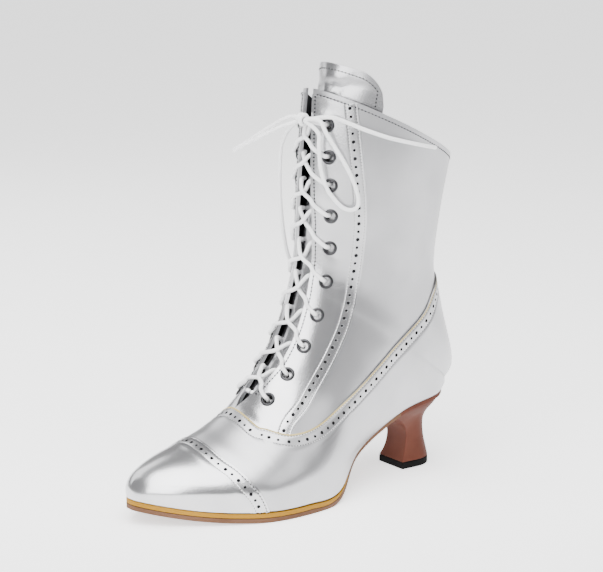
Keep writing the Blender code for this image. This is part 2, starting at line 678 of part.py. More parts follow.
def make_hole_cutter():
    """All the eyelet holes as one set of short rods."""
    bm = bmesh.new()
    for side in (1, -1):
        for place, across in eyelet_seats(side):
            bmesh.ops.create_cone(bm, cap_ends=True, segments=PUNCH_SIDES, radius1=PUNCH,
                                  radius2=PUNCH, depth=8 * WALL,
                                  matrix=seat_matrix(place, across, side, 0.0))
    cutter = finish("eyelet_holes", bm, "nickel")
    cutter.hide_render = True
    cutter.display_type = "WIRE"
    return cutter


def punch(pieces, cutter):
    for piece in pieces:
        cut = piece.modifiers.new("eyelet holes", "BOOLEAN")
        cut.operation = "DIFFERENCE"
        cut.solver = "EXACT"
        cut.object = cutter


def tube_curve(name, points, sides=2):
    """A round cord along points."""
    curve = bpy.data.curves.new(name, "CURVE")
    curve.dimensions = "3D"
    curve.bevel_depth = LACE / 2
    curve.bevel_resolution = sides
    curve.use_fill_caps = True
    spline = curve.splines.new("POLY")
    spline.points.add(len(points) - 1)
    for slot, point in zip(spline.points, points):
        slot.co = (*point, 1.0)
    curve.materials.append(material("white_lace"))
    made = bpy.data.objects.new(name, curve)
    bpy.context.collection.objects.link(made)
    return made


def smooth_route(points, steps):
    """Points on one smooth curve through a route."""
    lines = [padded([p[k] for p in points], "straight", "straight") for k in range(3)]
    return [Vector([smooth(line, float(t)) for line in lines])
            for t in np.linspace(0.0, len(points) - 1, steps + 1)]


STRAND_HEIGHT = PANEL_TOP + FIT + LACE / 2 + 0.0007   # middle of a strand over the facing
STRAND_STEPS = 4


def strand_route(start, across, finish_place, side):
    """From beside one eyelet, over the facing's edge and down into the gap at the other."""
    middle = (start + finish_place) / 2
    first = skin(start, across, side, STRAND_HEIGHT)
    edge = skin(start + (middle - start) * 0.55, 0.0, side, STRAND_HEIGHT)
    other = skin(middle, 0.0, -side, 0.0)
    own = skin(middle, 0.0, side, 0.0)
    cross = (own + other) / 2 + 0.0012 * normal(middle, 0.0, side, False)
    cross.y = (own.y + other.y) / 2
    last = skin(finish_place - 0.12, 0.0, -side, -0.0004)
    last.y += side * (LACE / 2 + 0.0008)
    return smooth_route([first, edge, cross, last], STRAND_STEPS)


def solid_copy(curve_object):
    """Turn a cord into a mesh, so that it can be joined to another."""
    graph = bpy.context.evaluated_depsgraph_get()
    mesh = bpy.data.meshes.new_from_object(curve_object.evaluated_get(graph))
    made = bpy.data.objects.new(curve_object.name + "_solid", mesh)
    bpy.data.objects.remove(curve_object)
    bpy.context.collection.objects.link(made)
    return made


def make_crossings():
    seats = {side: eyelet_seats(side) for side in (1, -1)}
    for k in range(EYELETS - 1):
        strands = []
        for side in (1, -1):
            place, across = seats[side][k]
            near = reach(place, side, 0.0042)
            route = strand_route(place, min(near, across), seats[-side][k + 1][0], side)
            strands.append(solid_copy(tube_curve(f"strand_{k}_{side}", route, 1)))
        piece, other = strands
        piece.name = f"lace_crossing_{k + 1:02d}"
        join = piece.modifiers.new("join", "BOOLEAN")
        join.operation = "UNION"
        join.solver = "EXACT"
        join.object = other
        other.hide_render = True
        other.display_type = "WIRE"


def make_bar():
    """The straight run of lace across the gap at the lowest eyelets."""
    place = eyelet_seats(1)[0][0] - 0.1
    ends = []
    for side in (1, -1):
        end = skin(place, 0.0, side, -0.0002)
        end.y -= side * 0.0011
        ends.append(end)
    tube_curve("lace_bar", smooth_route([ends[0], ends[0].lerp(ends[1], 0.5), ends[1]], 2))


def pattern_point(point):
    return Vector((point.x * GRADE_X, point.y * GRADE_Y, point.z * GRADE_Z))


def skin_route(rows):
    return [skin(r.place, abs(r.across), 1 if r.across >= 0 else -1, r.height / 1000)
            for r in rows]


CORD_STEP = 2.8 * LACE   # distance between the points of a cord


def make_cord(name, points):
    run = sum((b - a).length for a, b in zip(points, points[1:]))
    tube_curve(name, smooth_route(points, max(round(run / CORD_STEP), 8)))


def make_knot():
    bm = bmesh.new()
    bmesh.ops.create_icosphere(bm, subdivisions=2, radius=1.0)
    size = Matrix.Diagonal((KNOT_SIZE.x / 1000, KNOT_SIZE.y / 1000, KNOT_SIZE.z / 1000, 1.0))
    bmesh.ops.transform(bm, matrix=Matrix.Translation(pattern_point(KNOT)) @ size, verts=bm.verts)
    finish("lace_knot", bm, "white_lace")


def make_bow():
    make_knot()
    make_cord("lace_loop_lateral", skin_route(LOOP_LATERAL))
    make_cord("lace_end_lateral", skin_route(END_LATERAL))
    make_cord("lace_loop_medial", [pattern_point(p) for p in LOOP_MEDIAL])
    make_cord("lace_end_medial", [pattern_point(p) for p in END_MEDIAL])


def centre_on_floor():
    """Move every object so that the origin is under the middle of everything but the bow."""
    graph = bpy.context.evaluated_depsgraph_get()
    points = []
    for made in bpy.data.objects:
        if not made.hide_render and made.name not in BOW:
            solid = bpy.data.meshes.new_from_object(made.evaluated_get(graph))
            points += [made.matrix_world @ v.co for v in solid.vertices]
            bpy.data.meshes.remove(solid)
    middle = [(min(p[k] for p in points) + max(p[k] for p in points)) / 2 for k in (0, 1)]
    shift = Matrix.Translation((-middle[0], -middle[1], 0.0))
    for made in bpy.data.objects:
        made.matrix_world = shift @ made.matrix_world


def main():
    clear_scene()
    upper = make_upper()
    make_toe_cap()
    make_galosh()
    facings = [make_facing("eyestay_lateral", 1), make_facing("eyestay_medial", -1)]
    punch([upper, *facings], make_hole_cutter())
    make_tongue()
    make_insole()
    make_welt()
    make_outsole()
    make_heel()
    make_top_piece()
    make_eyelets()
    make_crossings()
    make_bar()
    make_bow()
    centre_on_floor()


main()
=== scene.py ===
# %% [markdown]
# # A silver lace-up ankle boot
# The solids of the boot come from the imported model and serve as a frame. This lesson dresses
# them: leather panels with real holes and stitches, a lining, a laced throat, a sole and a heel.
# Everything is in metres in the frame of the solids, with +X to the toe, +Y to the wearer's left.

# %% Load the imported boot
import json
import math
from collections import namedtuple

import bmesh
import bpy
import numpy as np
from mathutils import Matrix, Vector

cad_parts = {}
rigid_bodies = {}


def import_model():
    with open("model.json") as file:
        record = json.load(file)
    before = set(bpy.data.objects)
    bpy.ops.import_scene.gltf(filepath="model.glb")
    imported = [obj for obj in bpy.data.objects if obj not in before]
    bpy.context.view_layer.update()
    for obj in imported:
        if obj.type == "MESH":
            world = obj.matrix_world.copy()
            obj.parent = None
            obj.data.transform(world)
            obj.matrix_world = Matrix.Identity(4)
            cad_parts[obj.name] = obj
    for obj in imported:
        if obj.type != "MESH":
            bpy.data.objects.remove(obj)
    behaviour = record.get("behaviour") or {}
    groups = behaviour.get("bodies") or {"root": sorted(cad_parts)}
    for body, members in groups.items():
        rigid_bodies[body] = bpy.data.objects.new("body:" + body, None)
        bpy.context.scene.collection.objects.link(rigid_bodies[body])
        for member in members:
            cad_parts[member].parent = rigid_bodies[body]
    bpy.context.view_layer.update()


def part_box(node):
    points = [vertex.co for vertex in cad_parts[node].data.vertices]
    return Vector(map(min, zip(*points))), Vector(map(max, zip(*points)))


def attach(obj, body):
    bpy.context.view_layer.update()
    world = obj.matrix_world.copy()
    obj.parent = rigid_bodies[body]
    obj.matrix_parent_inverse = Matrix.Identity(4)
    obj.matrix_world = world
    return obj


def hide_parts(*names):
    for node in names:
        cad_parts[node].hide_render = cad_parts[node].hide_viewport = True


for old in list(bpy.data.objects):
    bpy.data.objects.remove(old, do_unlink=True)
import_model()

# %% [markdown]
# ## The last
# A shoemaker pulls leather over a last, so every piece of a boot follows one surface. Here that
# surface is a function. It runs through sections from the toe to the collar, each with a front
# line, a rear line and a width to either side. It could be sculpted, but then each panel would
# need fitting by hand; with a function, panels, stitches and eyelets all land on the same skin.

# %% Sections of the last
LENGTH = 0.2395
BALL_WIDTH = 0.0859
COLLAR_HEIGHT = 0.2535
WALL = 0.0016
LACE = 0.0026
EYELETS, EYELET_DRIFT = 10, 0.024

Station = namedtuple("Station", "front_x front_z rear_x rear_z centre lateral medial "
                     "edge_lateral edge_medial widest ridge fall rounding")
STATIONS = (
    Station(226.0, 14.6, 226.0, 14.6, 0.0, 0.0, 0.0, 0.0, 0.0, 0.62, 1.70, 2.4, 1.0),
    Station(225.0, 21.5, 221.5, 13.4, 0.0, 9.2, 9.0, 8.6, 8.2, 0.62, 1.70, 2.4, 1.0),
    Station(219.0, 27.7, 211.0, 11.2, 0.0, 18.8, 17.0, 18.0, 16.0, 0.62, 1.70, 2.4, 1.0),
    Station(205.0, 33.4, 197.0, 8.8, -0.8, 29.0, 24.5, 28.4, 22.5, 0.62, 1.70, 2.4, 1.0),
    Station(187.0, 38.4, 180.0, 6.9, -1.8, 39.4, 30.0, 38.6, 28.0, 0.66, 1.70, 2.4, 1.0),
    Station(169.0, 44.7, 160.0, 5.8, -2.5, 47.8, 33.2, 47.0, 31.0, 0.70, 1.70, 2.4, 1.0),
    Station(153.0, 55.0, 136.0, 5.7, -2.5, 48.6, 32.5, 48.2, 28.5, 0.72, 1.70, 2.4, 1.0),
    Station(141.0, 69.0, 110.0, 6.6, -2.0, 44.0, 31.0, 42.4, 22.5, 0.70, 1.70, 2.4, 1.0),
    Station(131.0, 82.5, 82.0, 23.2, -1.0, 35.0, 30.5, 23.8, 20.0, 0.62, 1.70, 2.4, 1.0),
    Station(122.0, 98.0, 50.0, 42.0, 0.0, 32.0, 31.0, 24.0, 24.0, 0.56, 1.70, 2.4, 1.0),
    Station(116.5, 113.0, 20.0, 49.5, 0.0, 32.0, 31.0, 23.0, 23.0, 0.52, 1.70, 2.6, 1.1),
    Station(112.5, 127.0, 6.0, 52.0, 0.0, 31.5, 31.0, 0.0, 0.0, 0.50, 1.70, 2.8, 2.0),
    Station(109.5, 142.0, -0.8, 64.0, 0.0, 31.0, 30.5, 0.0, 0.0, 0.50, 1.70, 2.7, 2.0),
    Station(108.0, 163.0, 8.5, 98.0, 0.0, 31.0, 30.5, 0.0, 0.0, 0.50, 1.70, 2.5, 2.0),
    Station(106.5, 186.0, 14.5, 125.0, 0.0, 32.5, 31.5, 0.0, 0.0, 0.50, 1.75, 2.4, 2.0),
    Station(104.5, 211.0, 11.0, 158.0, 0.0, 35.0, 32.5, 0.0, 0.0, 0.50, 1.80, 2.3, 2.0),
    Station(102.0, 239.0, 4.0, 192.0, 0.0, 37.5, 33.5, 0.0, 0.0, 0.50, 1.80, 2.2, 2.0),
)
BALL_ROW, HEEL_ROW, COLLAR_ROW = 5, 11, len(STATIONS) - 1
THROAT = 6.0
Gap = namedtuple("Gap", "place lateral medial")
GAPS = (Gap(THROAT, 0.0, 0.0), Gap(6.3, 3.0, 1.4), Gap(7.0, 8.0, 3.2), Gap(8.0, 10.0, 5.4),
        Gap(9.0, 9.4, 7.0), Gap(10.5, 9.2, 8.5), Gap(13.0, 7.8, 7.5), Gap(16.0, 3.5, 3.5))

GRADE = np.array([LENGTH / STATIONS[0].front_x,
                  BALL_WIDTH / (STATIONS[BALL_ROW].lateral + STATIONS[BALL_ROW].medial),
                  COLLAR_HEIGHT / STATIONS[COLLAR_ROW].front_z])
toe_tip, heel_low, heel_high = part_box("upper")[1].x, *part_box("heel")
ORIGIN = np.array([LENGTH - toe_tip, -(heel_low.y + heel_high.y) / 2, 0.0])
print("grade", GRADE.round(6), "origin", ORIGIN.round(5))


# %% Smooth lines through the sections
def padded(values, start, end):
    """Values with one more at each end: turned in place, mirrored, or run straight on."""
    def beyond(edge, inner, rule):
        return {"mirror": inner, "turn": -inner, "straight": 2 * edge - inner}[rule]
    return np.array([beyond(values[0], values[1], start), *values,
                     beyond(values[-1], values[-2], end)])


def smooth(line, place):
    k = np.clip(np.floor(place).astype(int), 0, len(line) - 4)
    t = place - k
    a, b, c, d = (line[k + step] for step in range(4))
    return b + 0.5 * t * (c - a + t * (2 * a - 5 * b + 4 * c - d + t * (3 * (b - c) + d - a)))


def table_line(rows, name, start="straight", end="straight"):
    axis = 0 if name.endswith("_x") else 2 if name.endswith("_z") else 1
    scale = 1.0 if name in ("widest", "ridge", "fall", "rounding") else GRADE[axis]
    return padded([getattr(row, name) * scale for row in rows], start, end)


STARTS = {"front_x": "mirror", "lateral": "turn", "medial": "turn"}
FOOT, SHAFT = STATIONS[:HEEL_ROW + 1], STATIONS[HEEL_ROW:]
LINES = {n: table_line(STATIONS, n, STARTS.get(n, "straight")) for n in Station._fields}
FOOT_ENDS = {"rear_x": "mirror", "rear_z": "straight", "edge_lateral": "turn",
             "edge_medial": "turn"}
FOOT_LINES = {n: table_line(FOOT, n, rule, rule) for n, rule in FOOT_ENDS.items()}
SHAFT_LINES = {n: table_line(SHAFT, n) for n in ("rear_x", "rear_z")}


def station(place):
    values = {}
    for name in Station._fields:
        if name in FOOT_LINES:
            foot = smooth(FOOT_LINES[name], np.minimum(place, HEEL_ROW))
            shaft = smooth(SHAFT_LINES[name], place - HEEL_ROW) if name in SHAFT_LINES else 0.0
            values[name] = np.where(place <= HEEL_ROW, foot, shaft)
        else:
            values[name] = smooth(LINES[name], place)
    return Station(**values)


def half_gap(place, side):
    places, *halves = zip(*GAPS)
    lateral, medial = (np.interp(place, places, half) * GRADE[1] for half in halves)
    return np.where(np.asarray(side) > 0, lateral, medial)


# %% [markdown]
# ## The skin of the last
# Across a section, 0 is the front and 1 the rear line. Up to the widest point, at 0.5, the width
# counts how far the section has turned, so points crowd where it bends. A signed width gives the
# side: positive is lateral, the side that the photograph shows.

# %% The skin as a function
TINY, STEP = 1e-6, 1e-3
LARGEST_GAP = 0.99           # share of a section's width that the throat may take up
HALVINGS = 48                # steps of the search for a point's section


def as_arrays(*values):
    return np.broadcast_arrays(*(np.asarray(v, float) for v in values))


def gap_angle(place, side, width, power, gap=True):
    """Where a section's curve starts, beside the throat's gap."""
    half = half_gap(place, side) if gap else 0.0
    return np.arcsin(np.minimum(half / width, LARGEST_GAP) ** (1 / power))


def bend(angle, width, deep, power):
    """How far a section has turned at an angle of its curve."""
    return np.arctan(deep / width * np.tan(angle) ** (2 - power))


def raw_skin(place, across, side, gap=True):
    place, across, side = as_arrays(place, across, side)
    s = station(place)
    width = np.maximum(np.where(side > 0, s.lateral, s.medial), TINY)
    edge = np.where(side > 0, s.edge_lateral, s.edge_medial)
    power = 2 / s.ridge
    deep = np.maximum(np.hypot(s.front_x - s.rear_x, s.front_z - s.rear_z), TINY) * s.widest
    first = bend(gap_angle(place, side, width, power, gap), width, deep, power)
    turned = first + (np.pi / 2 - first) * np.clip(across, 0.0, 0.5) / 0.5
    angle = np.arctan((np.tan(turned) * width / deep) ** (1 / (2 - power)))
    fall = np.sin(np.pi * (np.clip(across, 0.5, 1.0) - 0.5))
    front = across <= 0.5
    share = np.where(front, s.widest * (1 - np.cos(angle) ** power),
                     s.widest + (1 - s.widest) * fall)
    y = np.where(front, width * np.sin(angle) ** power, edge
                 + (width - edge) * np.maximum(1 - fall ** s.fall, 0.0) ** (1 / s.rounding))
    return np.stack([s.front_x + (s.rear_x - s.front_x) * share, s.centre + side * y,
                     s.front_z + (s.rear_z - s.front_z) * share], -1) - ORIGIN


def unit(vectors):
    return vectors / np.maximum(np.linalg.norm(vectors, axis=-1, keepdims=True), 1e-12)


def skin_normal(place, across, side, gap=True):
    place, across, side = as_arrays(place, across, side)
    slope = raw_skin(place + STEP, across, side, gap) - raw_skin(np.maximum(place - STEP, 0.0),
                                                                 across, side, gap)
    over = raw_skin(place, np.minimum(across + STEP, 1.0), side, gap) \
        - raw_skin(place, np.maximum(across - STEP, 0.0), side, gap)
    ridge = (across < STEP) & ((place <= THROAT) if gap else True)
    seam = (across > 1 - STEP) & (place >= HEEL_ROW)
    over = np.where((ridge | seam)[..., None], (0.0, 1.0, 0.0), over)
    out = unit(np.cross(slope, over))
    s = station(place)
    middle = np.stack([(s.front_x + s.rear_x) / 2, s.centre, (s.front_z + s.rear_z) / 2], -1)
    flip = ((raw_skin(place, across, side, gap) + ORIGIN - middle) * out).sum(-1) < 0
    out = np.where(flip[..., None], -out, out)
    return np.where((place < STEP)[..., None], (1.0, 0.0, 0.0), out)


# %% Soft creases
Crease = namedtuple("Crease", "side start end width depth")   # width and depth in millimetres
CREASES = (
    Crease(1, (7.1, 0.27), (9.8, 0.20), 5.0, 0.55),
    Crease(1, (10.6, 0.19), (11.6, 0.20), 4.0, 0.40),
    Crease(1, (12.6, 0.06), (12.4, 0.19), 3.0, 0.35),
    Crease(1, (13.6, 0.07), (13.5, 0.20), 3.0, 0.30),
    Crease(1, (15.78, 0.05), (15.66, 0.15), 3.8, 0.26),
    Crease(1, (15.25, 0.14), (14.7, 0.19), 3.0, 0.30),
    Crease(1, (5.1, 0.02), (5.0, 0.30), 4.0, 0.22),
    Crease(1, (10.6, 0.46), (9.6, 0.62), 9.0, 0.50),
    Crease(-1, (7.1, 0.24), (9.8, 0.20), 5.0, 0.50),
    Crease(-1, (12.3, 0.06), (12.1, 0.20), 3.0, 0.35),
    Crease(-1, (14.2, 0.08), (14.0, 0.20), 3.0, 0.30),
    Crease(-1, (5.1, 0.02), (4.9, 0.30), 4.0, 0.22),
    Crease(-1, (10.4, 0.44), (9.5, 0.62), 9.0, 0.60),
    Crease(-1, (11.6, 0.60), (10.9, 0.80), 7.0, 0.40),
)
CREASE_END = 0.4             # share of its depth that a crease keeps at its ends


def dent(points, side):
    """How far soft troughs draw the leather in; a trough fades out past its ends."""
    deep = np.zeros(points.shape[:-1])
    for crease in CREASES:
        first, last = (raw_skin(*spot, crease.side) for spot in (crease.start, crease.end))
        run = last - first
        share = np.clip((points - first) @ run / (run @ run), 0.0, 1.0)
        off = np.linalg.norm(points - first - share[..., None] * run, axis=-1) * 1000
        deepest = crease.depth / 1000 * (CREASE_END + (1 - CREASE_END) * np.sin(np.pi * share))
        here = np.sign(side) == crease.side
        deep += np.where(here, deepest * np.exp(-(off / crease.width) ** 2), 0.0)
    return deep


def skin(place, across, side, height=0.0):
    points = raw_skin(place, across, side)
    height = np.asarray(height, float) - dent(points, np.asarray(side, float))
    return points + height[..., None] * skin_normal(place, across, side)


def locate(x, z, side):
    """Place, width and share of the section for side-view points in pattern millimetres."""
    x, z = np.asarray(x, float) * GRADE[0], np.asarray(z, float) * GRADE[2]
    low, high = np.full(x.shape, 0.5), np.full(x.shape, COLLAR_ROW + 0.9)
    for _ in range(HALVINGS):
        mid = (low + high) / 2
        s = station(mid)
        turn = (s.rear_x - s.front_x) * (z - s.front_z) - (s.rear_z - s.front_z) * (x - s.front_x)
        low, high = np.where(turn < 0, mid, low), np.where(turn < 0, high, mid)
    place = (low + high) / 2
    s = station(place)
    run_x, run_z = s.rear_x - s.front_x, s.rear_z - s.front_z
    share = ((x - s.front_x) * run_x + (z - s.front_z) * run_z) / (run_x ** 2 + run_z ** 2)
    width = np.maximum(s.lateral if side > 0 else s.medial, TINY)
    power, deep = 2 / s.ridge, np.hypot(run_x, run_z) * s.widest
    start = gap_angle(place, side, width, power)
    angle = np.arccos(np.clip(1 - share / s.widest, 0.0, 1.0) ** (1 / power))
    first, turned = (bend(a, width, deep, power) for a in (start, angle))
    ahead = 0.5 * (turned - first) / (np.pi / 2 - first)
    behind = 0.5 + np.arcsin(np.clip((share - s.widest) / (1 - s.widest), 0.0, 1.0)) / np.pi
    return place, np.where(share <= s.widest, ahead, behind), share


TEST_SPOT = (120.0, 60.0)
test_place, test_across, _ = locate(*([c] for c in TEST_SPOT), 1)
test_point = raw_skin(test_place, test_across, 1) + ORIGIN
print("locate error in mm:", (test_point[0, [0, 2]] / GRADE[[0, 2]] - TEST_SPOT).round(6))

# %% [markdown]
# ## Camera, floor and light
# The photograph looks at the lateral side from a little in front and above, from far away, so a
# long lens is used. Silver leather shows its surroundings more than its own colour: large soft
# panels of light give it broad highlights, and a pale room keeps the rest light grey. The floor
# has a painted glow, an emission that grows towards the camera's side, because the low leather
# mirrors it.

# %% Camera, floor and light
PHOTO_WIDTH = 603.0
FOCAL_PIXELS, CAMERA_TURN, CAMERA_RISE = 1872.0, math.radians(35.6), math.radians(12.07)
AIM_PIXEL, FRAME_MIDDLE = (290.8, 291.9), (301.5, 286.0)
AIM, CAMERA_DISTANCE = (115.0, 0.0, 120.0), 1.166


def pattern(points):
    """Pattern millimetres to the frame of the solids."""
    return np.asarray(points, float) * GRADE - ORIGIN


def make_camera():
    aim = Vector(pattern(AIM))
    back = Vector((math.sin(CAMERA_TURN) * math.cos(CAMERA_RISE),
                   math.cos(CAMERA_TURN) * math.cos(CAMERA_RISE), math.sin(CAMERA_RISE)))
    data = bpy.data.cameras.new("camera")
    data.sensor_width = SENSOR
    data.lens = FOCAL_PIXELS / PHOTO_WIDTH * data.sensor_width
    data.shift_x = (FRAME_MIDDLE[0] - AIM_PIXEL[0]) / PHOTO_WIDTH
    data.shift_y = (AIM_PIXEL[1] - FRAME_MIDDLE[1]) / PHOTO_WIDTH
    camera = bpy.data.objects.new("camera", data)
    camera.location = aim + back * CAMERA_DISTANCE
    camera.rotation_euler = back.to_track_quat("Z", "Y").to_euler()
    bpy.context.collection.objects.link(camera)
    bpy.context.scene.camera = camera
    return camera


Softbox = namedtuple("Softbox", "name place size power")
SOFTBOXES = (
    Softbox("top", (0.28, 0.20, 1.25), 1.25, 32.0),
    Softbox("front", (1.18, 0.68, 0.74), 1.15, 27.0),
    Softbox("side", (-0.55, 1.15, 0.75), 0.70, 4.0),
    Softbox("medial_fill", (0.25, -1.10, 0.70), 0.90, 6.0),
)
SKY_TILT, SKY_SPREAD, SKY_POWER = (0.15, 0.35, 1.0), math.radians(80), 1.0
ROOM_COLOUR, ROOM_GLOW = (0.95, 0.95, 0.96, 1.0), 0.40
FLOOR_SIZE, FLOOR_COLOUR = 14.0, (0.93, 0.93, 0.93, 1.0)
FLOOR_GLOW = (0.05, 0.55, 1.3, 0.0)   # two distances towards the camera, and the glow at each
LIT_HEIGHT, SENSOR = 0.11, 36.0


def aim_lamp(name, data, place, target):
    lamp = bpy.data.objects.new(name, data)
    lamp.location = place
    lamp.rotation_euler = (Vector(place) - target).to_track_quat("Z", "Y").to_euler()
    bpy.context.collection.objects.link(lamp)


def make_light():
    target = Vector((0.0, 0.0, LIT_HEIGHT))
    for box in SOFTBOXES:
        data = bpy.data.lights.new(box.name, "AREA")
        data.size, data.energy = box.size, box.power
        aim_lamp(box.name, data, box.place, target)
    sky = bpy.data.lights.new("overhead_diffuser", "SUN")
    sky.angle, sky.energy = SKY_SPREAD, SKY_POWER
    aim_lamp("overhead_diffuser", sky, SKY_TILT, Vector())
    world = bpy.data.worlds.new("pale_room")
    world.use_nodes = True
    room = world.node_tree.nodes["Background"].inputs
    room["Color"].default_value, room["Strength"].default_value = ROOM_COLOUR, ROOM_GLOW
    bpy.context.scene.world = world


def wire(tree, *links):
    for source, target in links:
        tree.links.new(source, target)


def make_floor():
    bm = bmesh.new()
    bmesh.ops.create_grid(bm, x_segments=1, y_segments=1, size=FLOOR_SIZE)
    mesh = bpy.data.meshes.new("floor")
    bm.to_mesh(mesh)
    bm.free()
    paint = bpy.data.materials.new("floor_paper_with_painted_glow")
    paint.use_nodes = True
    tree = paint.node_tree
    shader = tree.nodes["Principled BSDF"].inputs
    shader["Base Color"].default_value = FLOOR_COLOUR
    shader["Roughness"].default_value = 0.9
    shader["Specular IOR Level"].default_value = 0.1
    # The floor's emission is a painted glow that grows towards the camera, as light for the low
    # leather to mirror.
    shader["Emission Color"].default_value = (1.0, 1.0, 1.0, 1.0)
    where = tree.nodes.new("ShaderNodeTexCoord").outputs["Object"]
    toward = tree.nodes.new("ShaderNodeVectorMath")
    toward.operation = "DOT_PRODUCT"
    toward.inputs[1].default_value = (math.sin(CAMERA_TURN), math.cos(CAMERA_TURN), 0.0)
    glow = tree.nodes.new("ShaderNodeMapRange")
    for label, value in zip(("From Min", "From Max", "To Min", "To Max"), FLOOR_GLOW):
        glow.inputs[label].default_value = value
    wire(tree, (where, toward.inputs[0]), (toward.outputs["Value"], glow.inputs["Value"]),
         (glow.outputs["Result"], shader["Emission Strength"]))
    mesh.materials.append(paint)
    floor = bpy.data.objects.new("floor", mesh)
    bpy.context.collection.objects.link(floor)


make_light()
make_floor()
print("camera lens in mm:", round(make_camera().data.lens, 1))

# %% [markdown]
# ## Finishes
# Silver leather is leather with a metallic film on it: a satin reflection, a fine grain that
# breaks it up, and a soft unevenness of the film. The grain and the unevenness are built once
# as node groups, and each leather takes them with its own values. Bump suits the grain, which
# is far finer than any mesh; folds and seams are modelled.

# %% Node groups for leather
def new_group(name, inputs, outputs):
    group = bpy.data.node_groups.new(name, "ShaderNodeTree")
    for label, value in inputs.items():
        socket = group.interface.new_socket(label, in_out="INPUT", socket_type="NodeSocketFloat")
        socket.default_value = value
    for label in outputs:
        group.interface.new_socket(label, in_out="OUTPUT", socket_type="NodeSocketFloat")
    return group, group.nodes.new("NodeGroupInput"), group.nodes.new("NodeGroupOutput")


def math_node(tree, operation, first, second=None, clamp=False):
    node = tree.nodes.new("ShaderNodeMath")
    node.operation, node.use_clamp = operation, clamp
    for socket, value in zip(node.inputs, (first, second)):
        if hasattr(value, "is_output"):
            tree.links.new(value, socket)
        elif value is not None:
            socket.default_value = value
    return node.outputs[0]


def grain_group():
    """Fine pebbles and pores, as a height, and a slow unevenness, as a mask."""
    group, enter, leave = new_group("leather_grain", {"Size": 0.0008, "Uneven size": 0.03},
                                    ("Height", "Uneven"))
    where = group.nodes.new("ShaderNodeTexCoord").outputs["Object"]
    pebble = group.nodes.new("ShaderNodeTexVoronoi")
    pebble.feature = "SMOOTH_F1"
    fine = group.nodes.new("ShaderNodeTexNoise")
    slow = group.nodes.new("ShaderNodeTexNoise")
    slow.inputs["Detail"].default_value = 3.0
    fine.inputs["Detail"].default_value = 4.0
    rate = math_node(group, "DIVIDE", 1.0, enter.outputs["Size"])
    wire(group, (where, pebble.inputs["Vector"]), (where, fine.inputs["Vector"]),
         (where, slow.inputs["Vector"]), (rate, pebble.inputs["Scale"]),
         (math_node(group, "MULTIPLY", rate, 0.35), fine.inputs["Scale"]),
         (math_node(group, "DIVIDE", 1.0, enter.outputs["Uneven size"]), slow.inputs["Scale"]))
    height = math_node(group, "ADD", math_node(group, "MULTIPLY", pebble.outputs["Distance"], 0.6),
                       math_node(group, "MULTIPLY", fine.outputs["Fac"], 0.9))
    wire(group, (height, leave.inputs["Height"]), (slow.outputs["Fac"], leave.inputs["Uneven"]))
    return group


GRAIN = grain_group()
print("group:", GRAIN.name)


# %% Leather, rubber, metal and thread
def new_material(name, base, roughness, metallic=0.0, **sockets):
    made = bpy.data.materials.new(name)
    made.use_nodes = True
    shader = made.node_tree.nodes["Principled BSDF"]
    shader.inputs["Base Color"].default_value = (*base, 1.0)
    shader.inputs["Roughness"].default_value = roughness
    shader.inputs["Metallic"].default_value = metallic
    for label, value in sockets.items():
        shader.inputs[label.replace("_", " ")].default_value = value
    return made, made.node_tree, shader


def ramp(tree, source, stops):
    """Colours over a value, as a colour ramp."""
    node = tree.nodes.new("ShaderNodeValToRGB")
    points = node.color_ramp.elements
    while len(points) < len(stops):
        points.new(0.5)
    for point, (at, colour) in zip(points, stops):
        point.position, point.color = at, (*colour, 1.0)
    tree.links.new(source, node.inputs["Fac"])
    return node.outputs["Color"]


def span(tree, source, low, high):
    node = tree.nodes.new("ShaderNodeMapRange")
    node.inputs["To Min"].default_value, node.inputs["To Max"].default_value = low, high
    tree.links.new(source, node.inputs["Value"])
    return node.outputs["Result"]


def bump(tree, shader, height, strength, distance):
    node = tree.nodes.new("ShaderNodeBump")
    node.inputs["Strength"].default_value = strength
    node.inputs["Distance"].default_value = distance
    wire(tree, (height, node.inputs["Height"]), (node.outputs["Normal"], shader.inputs["Normal"]))


def leather(name, dark, light, rough, metallic, grain_size, grain_depth, **sockets):
    made, tree, shader = new_material(name, light, rough[0], metallic, **sockets)
    grain = tree.nodes.new("ShaderNodeGroup")
    grain.node_tree = GRAIN
    grain.inputs["Size"].default_value = grain_size
    colour = ramp(tree, grain.outputs["Uneven"], ((0.32, dark), (0.68, light)))
    wire(tree, (colour, shader.inputs["Base Color"]),
         (span(tree, grain.outputs["Uneven"], *rough), shader.inputs["Roughness"]))
    bump(tree, shader, grain.outputs["Height"], 1.0, grain_depth)
    return made


SILVER = {
    "quarter": leather("quarter_leather", (0.44, 0.44, 0.452), (0.50, 0.50, 0.513),
                       (0.36, 0.29), 0.96, 0.0007, 0.000025),
    "galosh": leather("galosh_leather", (0.45, 0.45, 0.462), (0.52, 0.52, 0.533),
                      (0.35, 0.28), 0.96, 0.0007, 0.000025),
    "bright": leather("bright_leather", (0.54, 0.54, 0.552), (0.62, 0.62, 0.633),
                      (0.26, 0.19), 0.97, 0.0009, 0.00004),
    "tongue": leather("tongue_leather", (0.45, 0.45, 0.462), (0.54, 0.54, 0.552),
                      (0.28, 0.21), 0.97, 0.0009, 0.00004),
}
# The black lining; the same finish paints the shade in the punched holes, on their walls and at the
# needle holes.
LINING_AND_HOLE_SHADE = leather("black_lining_and_hole_shade", (0.010, 0.010, 0.011), (0.022, 0.022, 0.024), (0.75, 0.60), 0.0,
                 0.0006, 0.00004, Specular_IOR_Level=0.05)
SOCK = leather("insole_lining", (0.34, 0.30, 0.25), (0.42, 0.37, 0.31), (0.80, 0.70), 0.0, 0.0006,
               0.00004)
RAW_EDGE = leather("raw_leather_edge", (0.38, 0.29, 0.10), (0.50, 0.40, 0.17), (0.75, 0.60), 0.0,
                   0.0005, 0.00004)
CUT_EDGE = leather("cut_leather_edge", (0.30, 0.30, 0.31), (0.42, 0.42, 0.43), (0.70, 0.55), 0.0,
                   0.0005, 0.00003)
